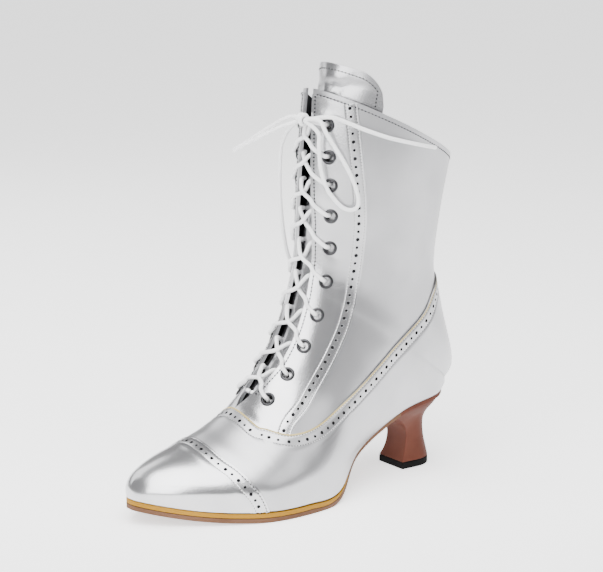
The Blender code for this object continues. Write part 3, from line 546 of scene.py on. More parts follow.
WELT_FINISH = leather("welt_leather", (0.27, 0.130, 0.008), (0.32, 0.160, 0.012), (0.60, 0.50), 0.0,
                      0.0012, 0.00002, Specular_IOR_Level=0.15)
SOLE_FINISH = leather("sole_edge", (0.10, 0.048, 0.026), (0.14, 0.072, 0.042), (0.65, 0.55), 0.0,
                      0.0010, 0.00003, Specular_IOR_Level=0.12)
RUBBER = leather("top_piece_rubber", (0.004, 0.004, 0.004), (0.008, 0.008, 0.008), (0.75, 0.62),
                 0.0, 0.0008, 0.00003, Specular_IOR_Level=0.04)
HEEL_FINISH = leather("heel_stack", (0.080, 0.026, 0.017), (0.115, 0.040, 0.027), (0.55, 0.45), 0.0,
                      0.0030, 0.00002, Specular_IOR_Level=0.06)
NICKEL = leather("eyelet_metal", (0.030, 0.030, 0.032), (0.065, 0.065, 0.068), (0.36, 0.26), 1.0,
                 0.0020, 0.000008)
THREAD = leather("stitch_thread", (0.60, 0.60, 0.60), (0.78, 0.78, 0.77), (0.60, 0.50), 0.0, 0.0003,
                 0.00004)
# A dark grey thread for the rows that look dark: it paints the shade along them.
SHADE_GREY_THREAD = leather("grey_thread_painted_shade", (0.16, 0.16, 0.165), (0.26, 0.26, 0.265), (0.65, 0.55), 0.0,
                      0.0003, 0.00004)
print("materials:", len(bpy.data.materials))

YARNS, YARN_PITCH = 6, 0.0011


def lace_material():
    """White braided cord: two sets of yarns wind round it, counted along and around its map."""
    made, tree, shader = new_material("lace", (0.86, 0.86, 0.86), 0.75)
    split = tree.nodes.new("ShaderNodeSeparateXYZ")
    wire(tree, (tree.nodes.new("ShaderNodeTexCoord").outputs["UV"], split.inputs["Vector"]))
    turns = math_node(tree, "MULTIPLY", split.outputs["Y"], 2 * math.pi * YARNS)
    run = math_node(tree, "MULTIPLY", split.outputs["X"], 2 * math.pi / YARN_PITCH)
    right = math_node(tree, "SINE", math_node(tree, "ADD", run, turns))
    left = math_node(tree, "SINE", math_node(tree, "SUBTRACT", run, turns))
    weave = math_node(tree, "MAXIMUM", right, left)
    # The grooves between the yarns are painted darker, as shade; the same pattern gives the bump.
    wire(tree, (ramp(tree, span(tree, weave, 0.0, 1.0), ((0.2, (0.74, 0.74, 0.75)),
                                                         (0.6, (0.94, 0.94, 0.94)))),
                shader.inputs["Base Color"]))
    bump(tree, shader, weave, 0.5, 0.00012)
    return made


LACE_FINISH = lace_material()

# %% [markdown]
# ## From a flat grid to a panel
# A panel of leather starts flat. Here a flat grid is laid on the last: each vertex gets a place,
# a width and a height over the skin. Cutting panels out of one big mesh would leave ragged edges,
# so the rows of each grid follow the panel's own seam.

# %% Helpers for grids, seams and pieces
def grid(bm, rows, columns):
    """The vertices of a new flat grid, as a table of rows and columns."""
    made = bmesh.ops.create_grid(bm, x_segments=columns - 1, y_segments=rows - 1, size=0.5)["verts"]
    table = np.empty((rows, columns), object)
    for v in made:
        table[round((v.co.y + 0.5) * (rows - 1)), round((v.co.x + 0.5) * (columns - 1))] = v
    return table


def move_to(table, points):
    for v, point in zip(table.flat, np.asarray(points).reshape(-1, 3)):
        v.co = point


def face_out(bm, table, out):
    """Turn a grid's faces over if its middle looks the wrong way."""
    r, c = (n // 2 for n in table.shape)
    here = table[r, c].co
    if (here - table[r, c - 1].co).cross(here - table[r - 1, c].co).dot(out) < 0:
        bmesh.ops.reverse_faces(bm, faces=list({f for v in table.flat for f in v.link_faces}))


def lay(bm, place, across, side, height):
    """A grid laid on the skin with its faces outwards."""
    place, across, height = np.broadcast_arrays(place, across, height)
    table = grid(bm, *place.shape)
    move_to(table, skin(place, across, side, height))
    r, c = (n // 2 for n in place.shape)
    face_out(bm, table, skin_normal(place[r, c], across[r, c], side))
    return table


def make_piece(name, bm, finishes, stands_for=(), weld=2e-5):
    if weld:
        bmesh.ops.remove_doubles(bm, verts=bm.verts, dist=weld)
        bmesh.ops.dissolve_degenerate(bm, edges=bm.edges, dist=weld / 4)
    mesh = bpy.data.meshes.new(name)
    bm.to_mesh(mesh)
    bm.free()
    for finish in finishes:
        mesh.materials.append(finish)
    mesh.shade_smooth()
    piece = bpy.data.objects.new(name, mesh)
    bpy.context.collection.objects.link(piece)
    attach(piece, "root")
    if stands_for:
        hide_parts(*stands_for)
    return piece


def thicken(piece, thickness, edge=0.00015, inner=0, rim=0):
    """Give a sheet its thickness inwards, and round its cut edges."""
    wall = piece.modifiers.new("thickness", "SOLIDIFY")
    wall.thickness, wall.offset = thickness, -1.0
    wall.material_offset, wall.material_offset_rim = inner, rim
    round_edges(piece, edge)


def round_edges(piece, width, angle=40.0):
    bevel = piece.modifiers.new("round_edges", "BEVEL")
    bevel.width, bevel.segments, bevel.profile = width, 2, 0.5
    bevel.limit_method, bevel.angle_limit = "ANGLE", math.radians(angle)
    bevel.harden_normals = True


# %% [markdown]
# ## Seams
# The seams are drawn in side view, as a pattern cutter would, and then found on the skin. Bands of
# holes and rows of stitches run beside a seam at a fixed distance, so a line can be moved across
# the skin by millimetres.

# %% Lines on the skin
SeamPoint = namedtuple("SeamPoint", "x z")
CAP_SEAM = (SeamPoint(180.0, 60.0), SeamPoint(180.3, 38.0), SeamPoint(175.0, 29.3),
            SeamPoint(166.8, 17.0), SeamPoint(161.8, 6.0), SeamPoint(158.8, -4.0))
THROAT_SEAM = (SeamPoint(153.4, 80.0), SeamPoint(153.2, 51.5), SeamPoint(148.5, 47.2),
               SeamPoint(138.0, 44.6))
SIDE_SEAM = (SeamPoint(122.0, 47.2), SeamPoint(106.0, 54.4), SeamPoint(86.0, 67.2),
             SeamPoint(62.0, 86.0), SeamPoint(40.0, 102.2), SeamPoint(26.5, 116.5),
             SeamPoint(6.0, 128.5))
FACING_SEAM = (SeamPoint(87.8, 250.0), SeamPoint(84.0, 205.0), SeamPoint(80.4, 162.0),
               SeamPoint(82.7, 128.0), SeamPoint(90.3, 101.5), SeamPoint(104.7, 78.0),
               SeamPoint(121.5, 58.5), SeamPoint(137.0, 46.4), SeamPoint(146.5, 30.0))


def smooth_route(points, count):
    """Points on one smooth curve through a route."""
    points = np.asarray(points, float)
    stops = np.linspace(0.0, len(points) - 1, count)
    return np.stack([smooth(padded(line, "straight", "straight"), stops) for line in points.T], -1)


def run_of(points):
    return np.concatenate(([0.0], np.cumsum(np.linalg.norm(np.diff(points, axis=0), axis=1))))


def evenly(place, across, side, spacing, multiple=1):
    """A line on the skin with even steps, a whole number of groups of them."""
    run = run_of(raw_skin(place, across, side))
    count = max(round(run[-1] / (spacing * multiple)), 1) * multiple
    stops = np.linspace(0.0, run[-1], count + 1)
    return np.interp(stops, run, place), np.interp(stops, run, across)


def seam_line(points, side, keep, count=1600):
    """A seam in side view found on the skin, where the kept part is marked by its share."""
    xz = smooth_route(points, count)
    place, across, share = locate(xz[:, 0], xz[:, 1], side)
    keep = keep(place, share)
    return place[keep], np.clip(across[keep], 0.0, 1.0)


def slopes(place, across, side):
    low, high = np.maximum(across - STEP, 0.0), np.minimum(across + STEP, 1.0)
    back = np.maximum(place - STEP, 0.0)
    along = (raw_skin(place + STEP, across, side) - raw_skin(back, across, side)) \
        / (place + STEP - back)[:, None]
    over = (raw_skin(place, high, side) - raw_skin(place, low, side)) / (high - low)[:, None]
    return along, over


WIDEST_REACH = 0.06          # in widths, where slopes across the widest line are not safe


def beside(place, across, side, distance, hint, steps=10):
    """A line moved sideways over the skin; the hint says roughly which way."""
    start = raw_skin(place, across, side)
    course = unit(np.gradient(start, axis=0))
    way = unit(np.cross(skin_normal(place, across, side), course))
    way *= np.sign((way * np.asarray(hint)).sum(-1, keepdims=True))
    middle = (across < TINY) | (across > 1 - TINY)
    way[middle & ((place <= THROAT) | (place >= HEEL_ROW)), 1] = 0.0
    way = unit(way)
    p, a, spot = place.copy(), across.copy(), raw_skin(place, across, side) + ORIGIN
    on_widest = np.zeros(p.shape, bool)
    for _ in range(steps):
        along, over = slopes(p, a, side)
        out = unit(np.cross(along, over) + 1e-12)
        shift = way - (way * out).sum(-1, keepdims=True) * out
        shift = unit(shift) * distance / steps
        g11, g12, g22 = ((u * v).sum(-1) for u, v in ((along, along), (along, over), (over, over)))
        b1, b2 = (along * shift).sum(-1), (over * shift).sum(-1)
        det = np.maximum(g11 * g22 - g12 ** 2, 1e-16)
        p = p + np.where(middle, b1 / g11, (g22 * b1 - g12 * b2) / det)
        a = np.where(middle, a, np.clip(a + (g11 * b2 - g12 * b1) / det, 0.0, 1.0))
        spot = spot + shift
        on_widest |= np.abs(a - 0.5) < WIDEST_REACH
    exact_p, exact_a, _ = locate(spot[:, 0] / GRADE[0], spot[:, 2] / GRADE[2], side)
    return np.where(on_widest, exact_p, p), np.where(on_widest, exact_a, a)


def on_section(place, share):
    return (share >= 0) & (share <= 1)


TOE_HINT, DOWN_HINT = (1.0, 0.0, 0.2), (0.2, 0.0, -1.0)
SIDES = {"lateral": 1, "medial": -1}
for side_name, side in SIDES.items():
    p, a = seam_line(THROAT_SEAM + SIDE_SEAM, side, on_section)
    print(side_name, "galosh seam", p[[0, -1]].round(3), a[[0, -1]].round(3),
          "mm", round(run_of(raw_skin(p, a, side))[-1] * 1000, 1))

# %% [markdown]
# ## Punched bands
# The edges of the cap, the galosh and the eyestays are punched with large and small holes in turn,
# between two rows of stitches. A Boolean for each hole would leave long thin faces, so the holes
# are opened in the grid itself: each cell of the band is four steps wide and four high, the eight
# vertices round its middle move onto a circle, and the middle vertex is deleted.

# %% A band of holes
HOLE_PITCH = 0.0052
LARGE_HOLE, SMALL_HOLE = 0.00118, 0.00090
CELL_STEPS = 4
BAND_ROWS = np.array([0.0, 0.5, 1.0, 1.4, 1.8, 3.2, 4.1, 5.0, 5.9, 6.8, 7.3, 7.7, 8.1]) / 1000
HOLE_ROW, STITCH_ROWS, GROOVE = 7, (3, 11), 0.00018
# The strip under the holes is black: painted shade inside the holes.
BACKED_ROWS = slice(4, 11)   # rows over the dark strip that lies under the holes
# On the cap and the galosh the walls round a hole are black: painted shade.
HOLE_FACES = 2               # slot of the faces round a hole, whose walls are dark
SEWN, DARK_SEWN, BACKED = [], [], []     # rows to sew later, and strips to lay under the holes


def smoothstep(value):
    value = np.clip(value, 0.0, 1.0)
    return value * value * (3 - 2 * value)


def band_lines(place, across, side, hint):
    """The rows of a band beside a seam line."""
    rows = [beside(place, across, side, d, hint) if d else (place, across) for d in BAND_ROWS]
    return np.array([r[0] for r in rows]), np.array([r[1] for r in rows])


def band_dip(rows):
    """How far the leather is drawn in along its stitches."""
    dip = np.zeros((rows, 1))
    dip[list(STITCH_ROWS)] = GROOVE
    return dip


def keep_band(side, p, a, height, under, shown=None, dark_row=None):
    """Keep the rows of a band for its stitches and for the strip under its holes."""
    for row in STITCH_ROWS:
        line = skin(p[row], a[row], side, height[row])
        shown_row = slice(None) if shown is None else shown[row]
        kept = DARK_SEWN if row == dark_row else SEWN
        kept.append((line[shown_row], skin_normal(p[row], a[row], side)[shown_row]))
    BACKED.append((side, p[BACKED_ROWS], a[BACKED_ROWS], under))


def punch(bm, table):
    """Open round holes along the middle row of a band."""
    middles = []
    for cell, c in enumerate(range(CELL_STEPS // 2, table.shape[1] - 1, CELL_STEPS)):
        middle = table[HOLE_ROW, c]
        along = (table[HOLE_ROW, c + 1].co - table[HOLE_ROW, c - 1].co).normalized()
        over = table[HOLE_ROW + 1, c].co - table[HOLE_ROW - 1, c].co
        over = (over - along * over.dot(along)).normalized()
        radius = SMALL_HOLE if cell % 2 else LARGE_HOLE
        for row in (-1, 0, 1):
            for column in (-1, 0, 1):
                if row or column:
                    angle = math.atan2(row, column)
                    table[HOLE_ROW + row, c + column].co = middle.co + radius * (
                        along * math.cos(angle) + over * math.sin(angle))
                    for face in table[HOLE_ROW + row, c + column].link_faces:
                        face.material_index = HOLE_FACES
        middles.append(middle)
    bmesh.ops.delete(bm, geom=middles, context="VERTS")
    return len(middles)


# %% [markdown]
# ## Quarters and lining
# Under all the panels lies the boot itself: the quarters, the vamp and a black lining. It is one
# sheet over the whole last, thickened inwards, with the lining as the finish of its inner side.

# %% The upper
PANEL_TOP, EYESTAY_TOP, CAP_TOP = 0.00135, 0.0010, 0.0018
PANEL_THICK, FOOT_TOP = 0.0009, 0.0004       # a panel's leather, and its height where it tucks in
# Depths of the black strips under the holes, which paint the shade in them.
CAP_BACKING, GALOSH_BACKING, EYESTAY_BACKING = 0.00082, 0.000425, 0.00006
TUCK_START = 0.88            # share of the width where the tuck under the foot begins


def make_upper(rows=150, columns=64):
    bm = bmesh.new()
    place = np.linspace(0.0, COLLAR_ROW, rows)[:, None]
    across = np.linspace(0.0, 1.0, columns)[None, :]
    for side in SIDES.values():
        lay(bm, place, across, side, 0.0)
    upper = make_piece("quarters_and_lining", bm, (SILVER["quarter"], LINING_AND_HOLE_SHADE),
                       ("upper",))
    thicken(upper, WALL, edge=0.0005, inner=1)
    return upper


UPPER = make_upper()
print("upper faces:", len(UPPER.data.polygons))

# %% [markdown]
# ## Toe cap
# The cap is sewn over the front of the vamp. Its rear edge is the seam with the punched band;
# from there its rows run forward and close to a point at the tip of the toe.

# %% The toe cap
def cap_seam(side):
    place, across = seam_line(CAP_SEAM, side, on_section)
    place, across = np.append(place[0], place), np.append(0.0, across)
    return np.append(place, place[-1]), np.append(across, 1.0)


def tucked(across, height):
    """Less height at the foot's edge, where the leather goes in under the upper."""
    tuck = smoothstep((across - TUCK_START) / (1 - TUCK_START))
    return FOOT_TOP + (height - FOOT_TOP) * (1 - tuck)


CAP_RISE, CAP_RISE_START = 0.012, 1.4        # how the cap's edge stands up along its band


def make_toe_cap(front_rows=26):
    bm = bmesh.new()
    holes = 0
    for side in SIDES.values():
        place, across = evenly(*cap_seam(side), side, HOLE_PITCH / CELL_STEPS, CELL_STEPS)
        p, a = band_lines(place, across, side, TOE_HINT)
        share = np.linspace(1.0, 0.0, front_rows + 1)[1:, None]
        rest_p, rest_a = p[-1] * share, np.broadcast_to(a[-1], (front_rows, len(place)))
        rise = smoothstep(CAP_RISE_START - BAND_ROWS / CAP_RISE)[:, None]
        edge = PANEL_TOP + (CAP_TOP - PANEL_TOP) * rise - band_dip(len(BAND_ROWS))
        height = np.concatenate([edge, np.full((front_rows, 1), PANEL_TOP)])
        p, a = np.concatenate([p, rest_p]), np.concatenate([a, rest_a])
        height = tucked(a, height)
        table = lay(bm, p, a, side, height)
        keep_band(side, p, a, height, CAP_BACKING, dark_row=STITCH_ROWS[0])
        holes += punch(bm, table)
    finishes = (SILVER["bright"], CUT_EDGE, SILVER["bright"], LINING_AND_HOLE_SHADE)
    cap = make_piece("toe_cap_leather", bm, finishes, ("toe_cap",))
    thicken(cap, PANEL_THICK, inner=1, rim=1)
    return holes


print("toe cap holes:", make_toe_cap())

# %% [markdown]
# ## Galosh
# The galosh wraps the foot from the throat to the back seam. Its upper edge is one long seam with
# the punched band; below the band its columns run straight down to the sole. In front of the
# throat a second patch runs on to the toe cap and goes in under it. The first rows of the band
# show the raw edge of the leather, which is left pale.

# %% The galosh
END_SAMPLES = 40             # samples of the seam that give its slope at the back


def galosh_seam(side):
    place, across = seam_line(THROAT_SEAM + SIDE_SEAM, side, on_section)
    slope = (place[-1] - place[-END_SAMPLES]) / (across[-1] - across[-END_SAMPLES])
    end = place[-1] + slope * (1 - across[-1])
    return np.concatenate([place[:1], place, [end]]), np.concatenate([[0.0], across, [1.0]])


UNDER_CAP, UNDER_CAP_TOP = 0.30, 0.0005      # how far the front patch goes in under the cap
THROAT_DROP, THROAT_COLUMNS = 0.08, 10.0     # its columns beside the throat start a little lower


def make_galosh(rows=30, front_rows=16):
    bm = bmesh.new()
    holes = 0
    for side in SIDES.values():
        place, across = evenly(*galosh_seam(side), side, HOLE_PITCH / CELL_STEPS, CELL_STEPS)
        p, a = band_lines(place, across, side, DOWN_HINT)
        share = np.linspace(0.0, 1.0, rows + 1)[1:, None]
        low_a = a[-1] + (1 - a[-1]) * share
        column = np.arange(len(place))
        straight = np.minimum.accumulate(p[-1][::-1])[::-1]
        straight = straight - THROAT_DROP * np.exp(-column / THROAT_COLUMNS)
        low_p = np.broadcast_to(straight, low_a.shape)
        height = PANEL_TOP - np.concatenate([band_dip(len(BAND_ROWS)), np.zeros((rows, 1))])
        p, a = np.concatenate([p, low_p]), np.concatenate([a, low_a])
        height = np.where(p < HEEL_ROW, tucked(a, height), height)
        table = lay(bm, p, a, side, height)
        keep_band(side, p, a, height, GALOSH_BACKING)
        holes += punch(bm, table)
        for face in {f for v in table[1] for f in v.link_faces}:
            face.material_index = 1
        front_p = np.append(p[len(BAND_ROWS) - 1, 0], low_p[:, 0])
        front_a = np.append(0.0, low_a[:, 0])
        seam_p, seam_a = cap_seam(side)
        under = np.interp(front_a, seam_a, seam_p) - UNDER_CAP
        front_p = under + (front_p - under) * np.linspace(0.0, 1.0, front_rows + 1)[:, None]
        ahead = (front_p - under - UNDER_CAP) / UNDER_CAP
        rise = smoothstep(0.35 + 0.6 * ahead)
        height = UNDER_CAP_TOP + (PANEL_TOP - UNDER_CAP_TOP) * rise
        front_a = np.broadcast_to(front_a, front_p.shape)
        lay(bm, front_p, front_a, side, tucked(front_a, height))
    finishes = (SILVER["galosh"], RAW_EDGE, SILVER["galosh"], LINING_AND_HOLE_SHADE)
    galosh = make_piece("galosh_leather_panel", bm, finishes, ("galosh",))
    thicken(galosh, PANEL_THICK, inner=1, rim=1)
    return holes


print("galosh holes:", make_galosh())

# %% [markdown]
# ## Eyestays
# A strip of brighter leather carries the eyelets on each side of the throat. Its rear edge is
# punched like the galosh, and its lower end is pared thin and goes in under the galosh.

# %% The eyestays
SEAM_SAMPLES = smooth_route(THROAT_SEAM + SIDE_SEAM, 500)


def above_galosh(points):
    """Distance of points above the galosh's seam in side view, in pattern millimetres."""
    flat = ((points + ORIGIN) / GRADE)[..., [0, 2]].reshape(-1, 2)
    away = flat[:, None, :] - SEAM_SAMPLES[None]
    nearest = np.argmin((away ** 2).sum(-1), axis=1)
    course = np.gradient(SEAM_SAMPLES, axis=0)[nearest]
    offset = away[np.arange(len(flat)), nearest]
    turn = course[:, 0] * offset[:, 1] - course[:, 1] * offset[:, 0]
    return (-np.sign(turn) * np.linalg.norm(offset, axis=1)).reshape(points.shape[:-1])


FACING_FOOT = -9.0           # how far the rear edge runs on below the galosh's seam
THROAT_FOOT = 5.9            # place where the front edge ends under the galosh
PARED, CLEAR = 5.0, 0.3      # above the seam: where the paring ends, and where stitches begin


def facing_seam(side):
    place, across = seam_line(FACING_SEAM, side, lambda place, share: place <= COLLAR_ROW)
    keep = above_galosh(raw_skin(place, across, side)) > FACING_FOOT
    place, across = place[keep], across[keep]
    return np.append(COLLAR_ROW, place), np.append(across[0], across)


def eyestay_height(points):
    return FOOT_TOP + (EYESTAY_TOP - FOOT_TOP) * smoothstep(above_galosh(points) / PARED)


def make_eyestay(name, side, columns=34):
    bm = bmesh.new()
    place, across = evenly(*facing_seam(side), side, HOLE_PITCH / CELL_STEPS, CELL_STEPS)
    p, a = band_lines(place, across, side, TOE_HINT)
    p = np.minimum(p, COLLAR_ROW)
    stretch = (COLLAR_ROW - THROAT_FOOT) / (COLLAR_ROW - p[-1, -1])
    edge_p = COLLAR_ROW - (COLLAR_ROW - p[-1]) * stretch
    share = np.linspace(0.0, 1.0, columns + 1)[1:, None]
    p = np.concatenate([p, p[-1] + (edge_p - p[-1]) * share])
    a = np.concatenate([a, a[-1] * (1 - share)])
    dip = np.concatenate([band_dip(len(BAND_ROWS)), np.zeros((columns, 1))])
    skin_points = raw_skin(p, a, side)
    height = eyestay_height(skin_points) - dip
    table = lay(bm, p, a, side, height)
    keep_band(side, p, a, height, EYESTAY_BACKING, above_galosh(skin_points) > CLEAR)
    holes = punch(bm, table)
    finishes = (SILVER["bright"], CUT_EDGE, SILVER["bright"], LINING_AND_HOLE_SHADE)
    stay = make_piece(f"eyestay_leather_{name}", bm, finishes,
                      (f"eyestay_{name}",))
    thicken(stay, PANEL_THICK, inner=1)
    return stay, holes


EYESTAYS = {}
for side_name, side in SIDES.items():
    EYESTAYS[side_name], stay_holes = make_eyestay(side_name, side)
    print("eyestay", side_name, "holes", stay_holes)

# %% [markdown]
# ## Eyelets
# An eyelet is a short metal tube, set from outside and rolled over: a ring outside, a barrel
# through the leather. Its profile is spun round its axis. The leather gets a real hole for each.

# %% Seats of the eyelets
EyeletPlace = namedtuple("EyeletPlace", "place inset")
EYELET_LINE = (EyeletPlace(6.8, 11.0), EyeletPlace(7.9, 7.6), EyeletPlace(8.8, 7.8),
               EyeletPlace(9.8, 9.2), EyeletPlace(11.4, 10.8), EyeletPlace(14.0, 14.0),
               EyeletPlace(15.37, 11.4))
EYELET_HOLE, EYELET_BARREL, EYELET_FLANGE, EYELET_RISE = 0.0028, 0.0033, 0.0046, 0.0008
EYELET_SIDES, EYELET_LIP, PUNCH_DEPTH = 24, 0.0006, 0.012


def reach(place, side, inset):
    """The width at a distance from the facing's edge, along the skin."""
    samples = np.linspace(0.0, 0.9, 361)
    return float(np.interp(inset, run_of(raw_skin(place, samples, side)), samples))


def eyelet_seats(side):
    places = np.linspace(EYELET_LINE[0].place, EYELET_LINE[-1].place, 201)
    insets = np.interp(places, *zip(*EYELET_LINE)) / 1000
    widths = np.array([reach(p, side, i) for p, i in zip(places, insets)])
    run = run_of(raw_skin(places, widths, side))
    shares = np.linspace(0.0, 1.0, EYELETS)
    stops = run[-1] * (shares + EYELET_DRIFT * np.sin(np.pi * shares ** 1.5) ** 2)
    chosen = [int(np.argmin(np.abs(run - stop))) for stop in stops]
    return list(zip(places[chosen], widths[chosen]))


def seat_matrix(place, across, side, height):
    """A frame on the skin with its Z axis pointing out."""
    out = Vector(skin_normal(place, across, side))
    return Matrix.Translation(skin(place, across, side, height)) @ \
        out.to_track_quat("Z", "Y").to_matrix().to_4x4()


SEATS = {side: eyelet_seats(side) for side in SIDES.values()}
seat_error = max((Vector(skin(*SEATS[side][k], side)) - sum(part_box(f"eyelet_{name}_{k + 1:02d}"),
                                                           Vector()) / 2).length
                 for name, side in SIDES.items() for k in range(EYELETS))
print("largest distance from an eyelet's solid in mm:", round(seat_error * 1000, 2))


# %% Holes in the leather, and the eyelets
def punch_eyelets(piece, side):
    """Cut the holes for the eyelets through a piece, for good."""
    bm = bmesh.new()
    for place, across in SEATS[side]:
        bmesh.ops.create_cone(bm, cap_ends=True, segments=EYELET_SIDES, radius1=EYELET_BARREL,
                              radius2=EYELET_BARREL, depth=PUNCH_DEPTH,
                              matrix=seat_matrix(place, across, side, 0.0))
    mesh = bpy.data.meshes.new("eyelet_punch")
    bm.to_mesh(mesh)
    bm.free()
    cutter = bpy.data.objects.new("eyelet_punch", mesh)
    bpy.context.collection.objects.link(cutter)
    cut = piece.modifiers.new("punch", "BOOLEAN")
    cut.operation, cut.solver, cut.object = "DIFFERENCE", "EXACT", cutter
    graph = bpy.context.evaluated_depsgraph_get()
    made = bpy.data.meshes.new_from_object(piece.evaluated_get(graph))
    piece.modifiers.clear()
    piece.data = made
    bpy.data.objects.remove(cutter)
    bpy.data.meshes.remove(mesh)


for side_name, side in SIDES.items():
    punch_eyelets(EYESTAYS[side_name], side)
    punch_eyelets(UPPER, side)


def make_eyelet(name, place, across, side):
    """A ring whose profile runs from inside the boot up the hole, over the lip and back."""
    top = EYESTAY_TOP + 0.0001
    profile = [(EYELET_HOLE + 0.0002, -WALL - EYELET_LIP), (EYELET_HOLE, -WALL), (EYELET_HOLE, top),
               (EYELET_HOLE + 0.00015, top + EYELET_RISE * 0.75),
               (EYELET_HOLE + EYELET_LIP, top + EYELET_RISE),
               (EYELET_FLANGE - EYELET_LIP, top + EYELET_RISE * 0.85),
               (EYELET_FLANGE - 0.0001, top + EYELET_RISE * 0.35),
               (EYELET_FLANGE, top - 0.0001), (EYELET_BARREL, top - 0.0002),
               (EYELET_BARREL, -WALL - 0.0004)]
    bm = bmesh.new()
    ring = [bm.verts.new((radius, 0.0, height)) for radius, height in profile]
    edges = [bm.edges.new(pair) for pair in zip(ring, ring[1:] + ring[:1])]
    bmesh.ops.spin(bm, geom=ring + edges, cent=(0.0, 0.0, 0.0), axis=(0.0, 0.0, 1.0),
                   dvec=(0.0, 0.0, 0.0), angle=2 * math.pi, steps=EYELET_SIDES, use_merge=True)
    bmesh.ops.recalc_face_normals(bm, faces=bm.faces)
    bmesh.ops.transform(bm, matrix=seat_matrix(place, across, side, 0.0), verts=bm.verts)
    return make_piece(name + "_ring", bm, (NICKEL,), (name,))


for side_name, side in SIDES.items():
    for k, (place, across) in enumerate(SEATS[side]):
        make_eyelet(f"eyelet_{side_name}_{k + 1:02d}", place, across, side)
print("eyelets:", sum(len(s) for s in SEATS.values()))

# %% [markdown]
# ## Tongue
# The tongue lies under the lace and rises above the collar. It is thin leather, so it has soft
# folds: a dent across it where the lace pulls, and bulges above and below.

# %% The tongue
TongueRow = namedtuple("TongueRow", "place half depth wrap")
TONGUE_ROWS = (TongueRow(5.55, 9.0, 2.8, 2.6), TongueRow(6.3, 13.0, 3.8, 5.0),
               TongueRow(7.5, 17.0, 4.8, 10.2), TongueRow(9.0, 20.0, 5.6, 17.0),
               TongueRow(11.0, 22.0, 6.2, 24.0), TongueRow(13.0, 24.0, 7.2, 28.0),
               TongueRow(15.0, 27.0, 10.2, 27.0), TongueRow(16.72, 30.0, 12.4, 27.0))
TONGUE_CORNER, TONGUE_FLAT, TONGUE_THICK = 0.55, 0.68, 0.0018


def tongue_points(share, w, lift=0.0):
    """Points on the tongue's front; share runs up it, w from edge to edge."""
    turn = np.clip((np.abs(w) - TONGUE_FLAT) / (1 - TONGUE_FLAT), 0.0, 1.0)
    drop = TONGUE_CORNER * (1 - np.sqrt(1 - turn ** 2))
    first, last = TONGUE_ROWS[0].place, TONGUE_ROWS[-1].place
    place = first + (last - drop - first) * share
    stops, *columns = zip(*TONGUE_ROWS)
    half, depth, wrap = (np.interp(place, stops, column) / 1000 for column in columns)
    s = station(place)
    front = np.stack([s.front_x, s.centre, s.front_z], -1)
    back = unit(np.stack([s.rear_x, s.centre, s.rear_z], -1) - front)
    over = np.stack([np.zeros_like(w), np.ones_like(w), np.zeros_like(w)], -1)
    points = front + back * (depth + wrap * w ** 2)[..., None] + over * (half * w)[..., None]
    out = unit(over * (2 * wrap * w / half)[..., None] - back)
    return points + out * np.asarray(lift)[..., None] - ORIGIN


TongueFold = namedtuple("TongueFold", "share w turn length width lift")
TONGUE_FOLDS = (
    TongueFold(0.958, 0.26, 4.0, 6.0, 1.8, -0.7), TongueFold(0.975, 0.20, 5.0, 6.0, 3.0, 0.7),
    TongueFold(0.938, 0.08, 90.0, 7.0, 3.0, 0.7), TongueFold(0.947, 0.36, 50.0, 9.0, 2.0, -0.6),
    TongueFold(0.968, 0.62, 20.0, 5.0, 2.2, -0.5), TongueFold(0.966, -0.40, -20.0, 8.0, 2.0, -0.6),
    TongueFold(0.80, 0.0, 0.0, 14.0, 2.5, -0.5), TongueFold(0.62, 0.0, 8.0, 12.0, 2.5, -0.5),
)
TONGUE_LENGTH, TONGUE_HALF = 215.0, 29.0     # in millimetres, for the folds
TONGUE_FINE = 0.88           # share above which its rows are closer


def tongue_folds(share, w):
    """Troughs and bulges, each a soft mound along its own direction."""
    lift = np.zeros(np.shape(share))
    for fold in TONGUE_FOLDS:
        up, over = (share - fold.share) * TONGUE_LENGTH, (w - fold.w) * TONGUE_HALF
        turn = math.radians(fold.turn)
        along = over * math.cos(turn) + up * math.sin(turn)
        off = up * math.cos(turn) - over * math.sin(turn)
        lift += fold.lift / 1000 * np.exp(-(along / fold.length) ** 2 - (off / fold.width) ** 2)
    return lift


def make_tongue(columns=61):
    bm = bmesh.new()
    shares = np.concatenate([np.linspace(0.0, TONGUE_FINE, 50),
                             np.linspace(TONGUE_FINE, 1.0, 46)[1:]])
    table = grid(bm, len(shares), columns)
    share, w = np.meshgrid(shares, np.linspace(-1.0, 1.0, columns), indexing="ij")
    move_to(table, tongue_points(share, w, tongue_folds(share, w)))
    face_out(bm, table, (1.0, 0.0, 0.5))
    tongue = make_piece("tongue_leather_sheet", bm, (SILVER["tongue"], LINING_AND_HOLE_SHADE),
                        ("tongue",))
    thicken(tongue, TONGUE_THICK, edge=0.0006, inner=1)
    return tongue


TONGUE = make_tongue()
print("tongue faces:", len(TONGUE.data.polygons))

# %% [markdown]
# ## Welt, outsole and insole
# The welt is a strip of tan leather round the forefoot; the outsole is one thin layer that rises
# to the heel. Each starts as a flat grid inside the foot's edge, is moved to its height and
# extruded, and its edges are then rounded as a finisher would. Over the heel the outsole's edge is
# stained like the heel.

# %% Layers of the sole
FIT, WELT, INSOLE, INSOLE_INSET = 0.0003, 0.0027, 0.0020, 0.0026
SOLE_MARGIN, WAIST_MARGIN, WAIST = 0.0020, 0.0005, 8.5
WELT_FADE, WELT_END, WELT_INNER = 6.5, 7.5, 0.0016
SOLE_COLUMNS = 13
HEEL_SEAT = 50.0             # the outsole behind it takes the heel's colour
SOLE_PLACES, SOLE_THICK = (6.0, 8.0, 9.0, HEEL_ROW), (0.0028, 0.0026, 0.0024, 0.0024)


def welt_height(place):
    return np.interp(place, (WELT_FADE, WELT_END + 0.25), (WELT, 0.0))


def sole_margin(place):
    return np.interp(place, (WELT_FADE, WAIST), (SOLE_MARGIN, WAIST_MARGIN))


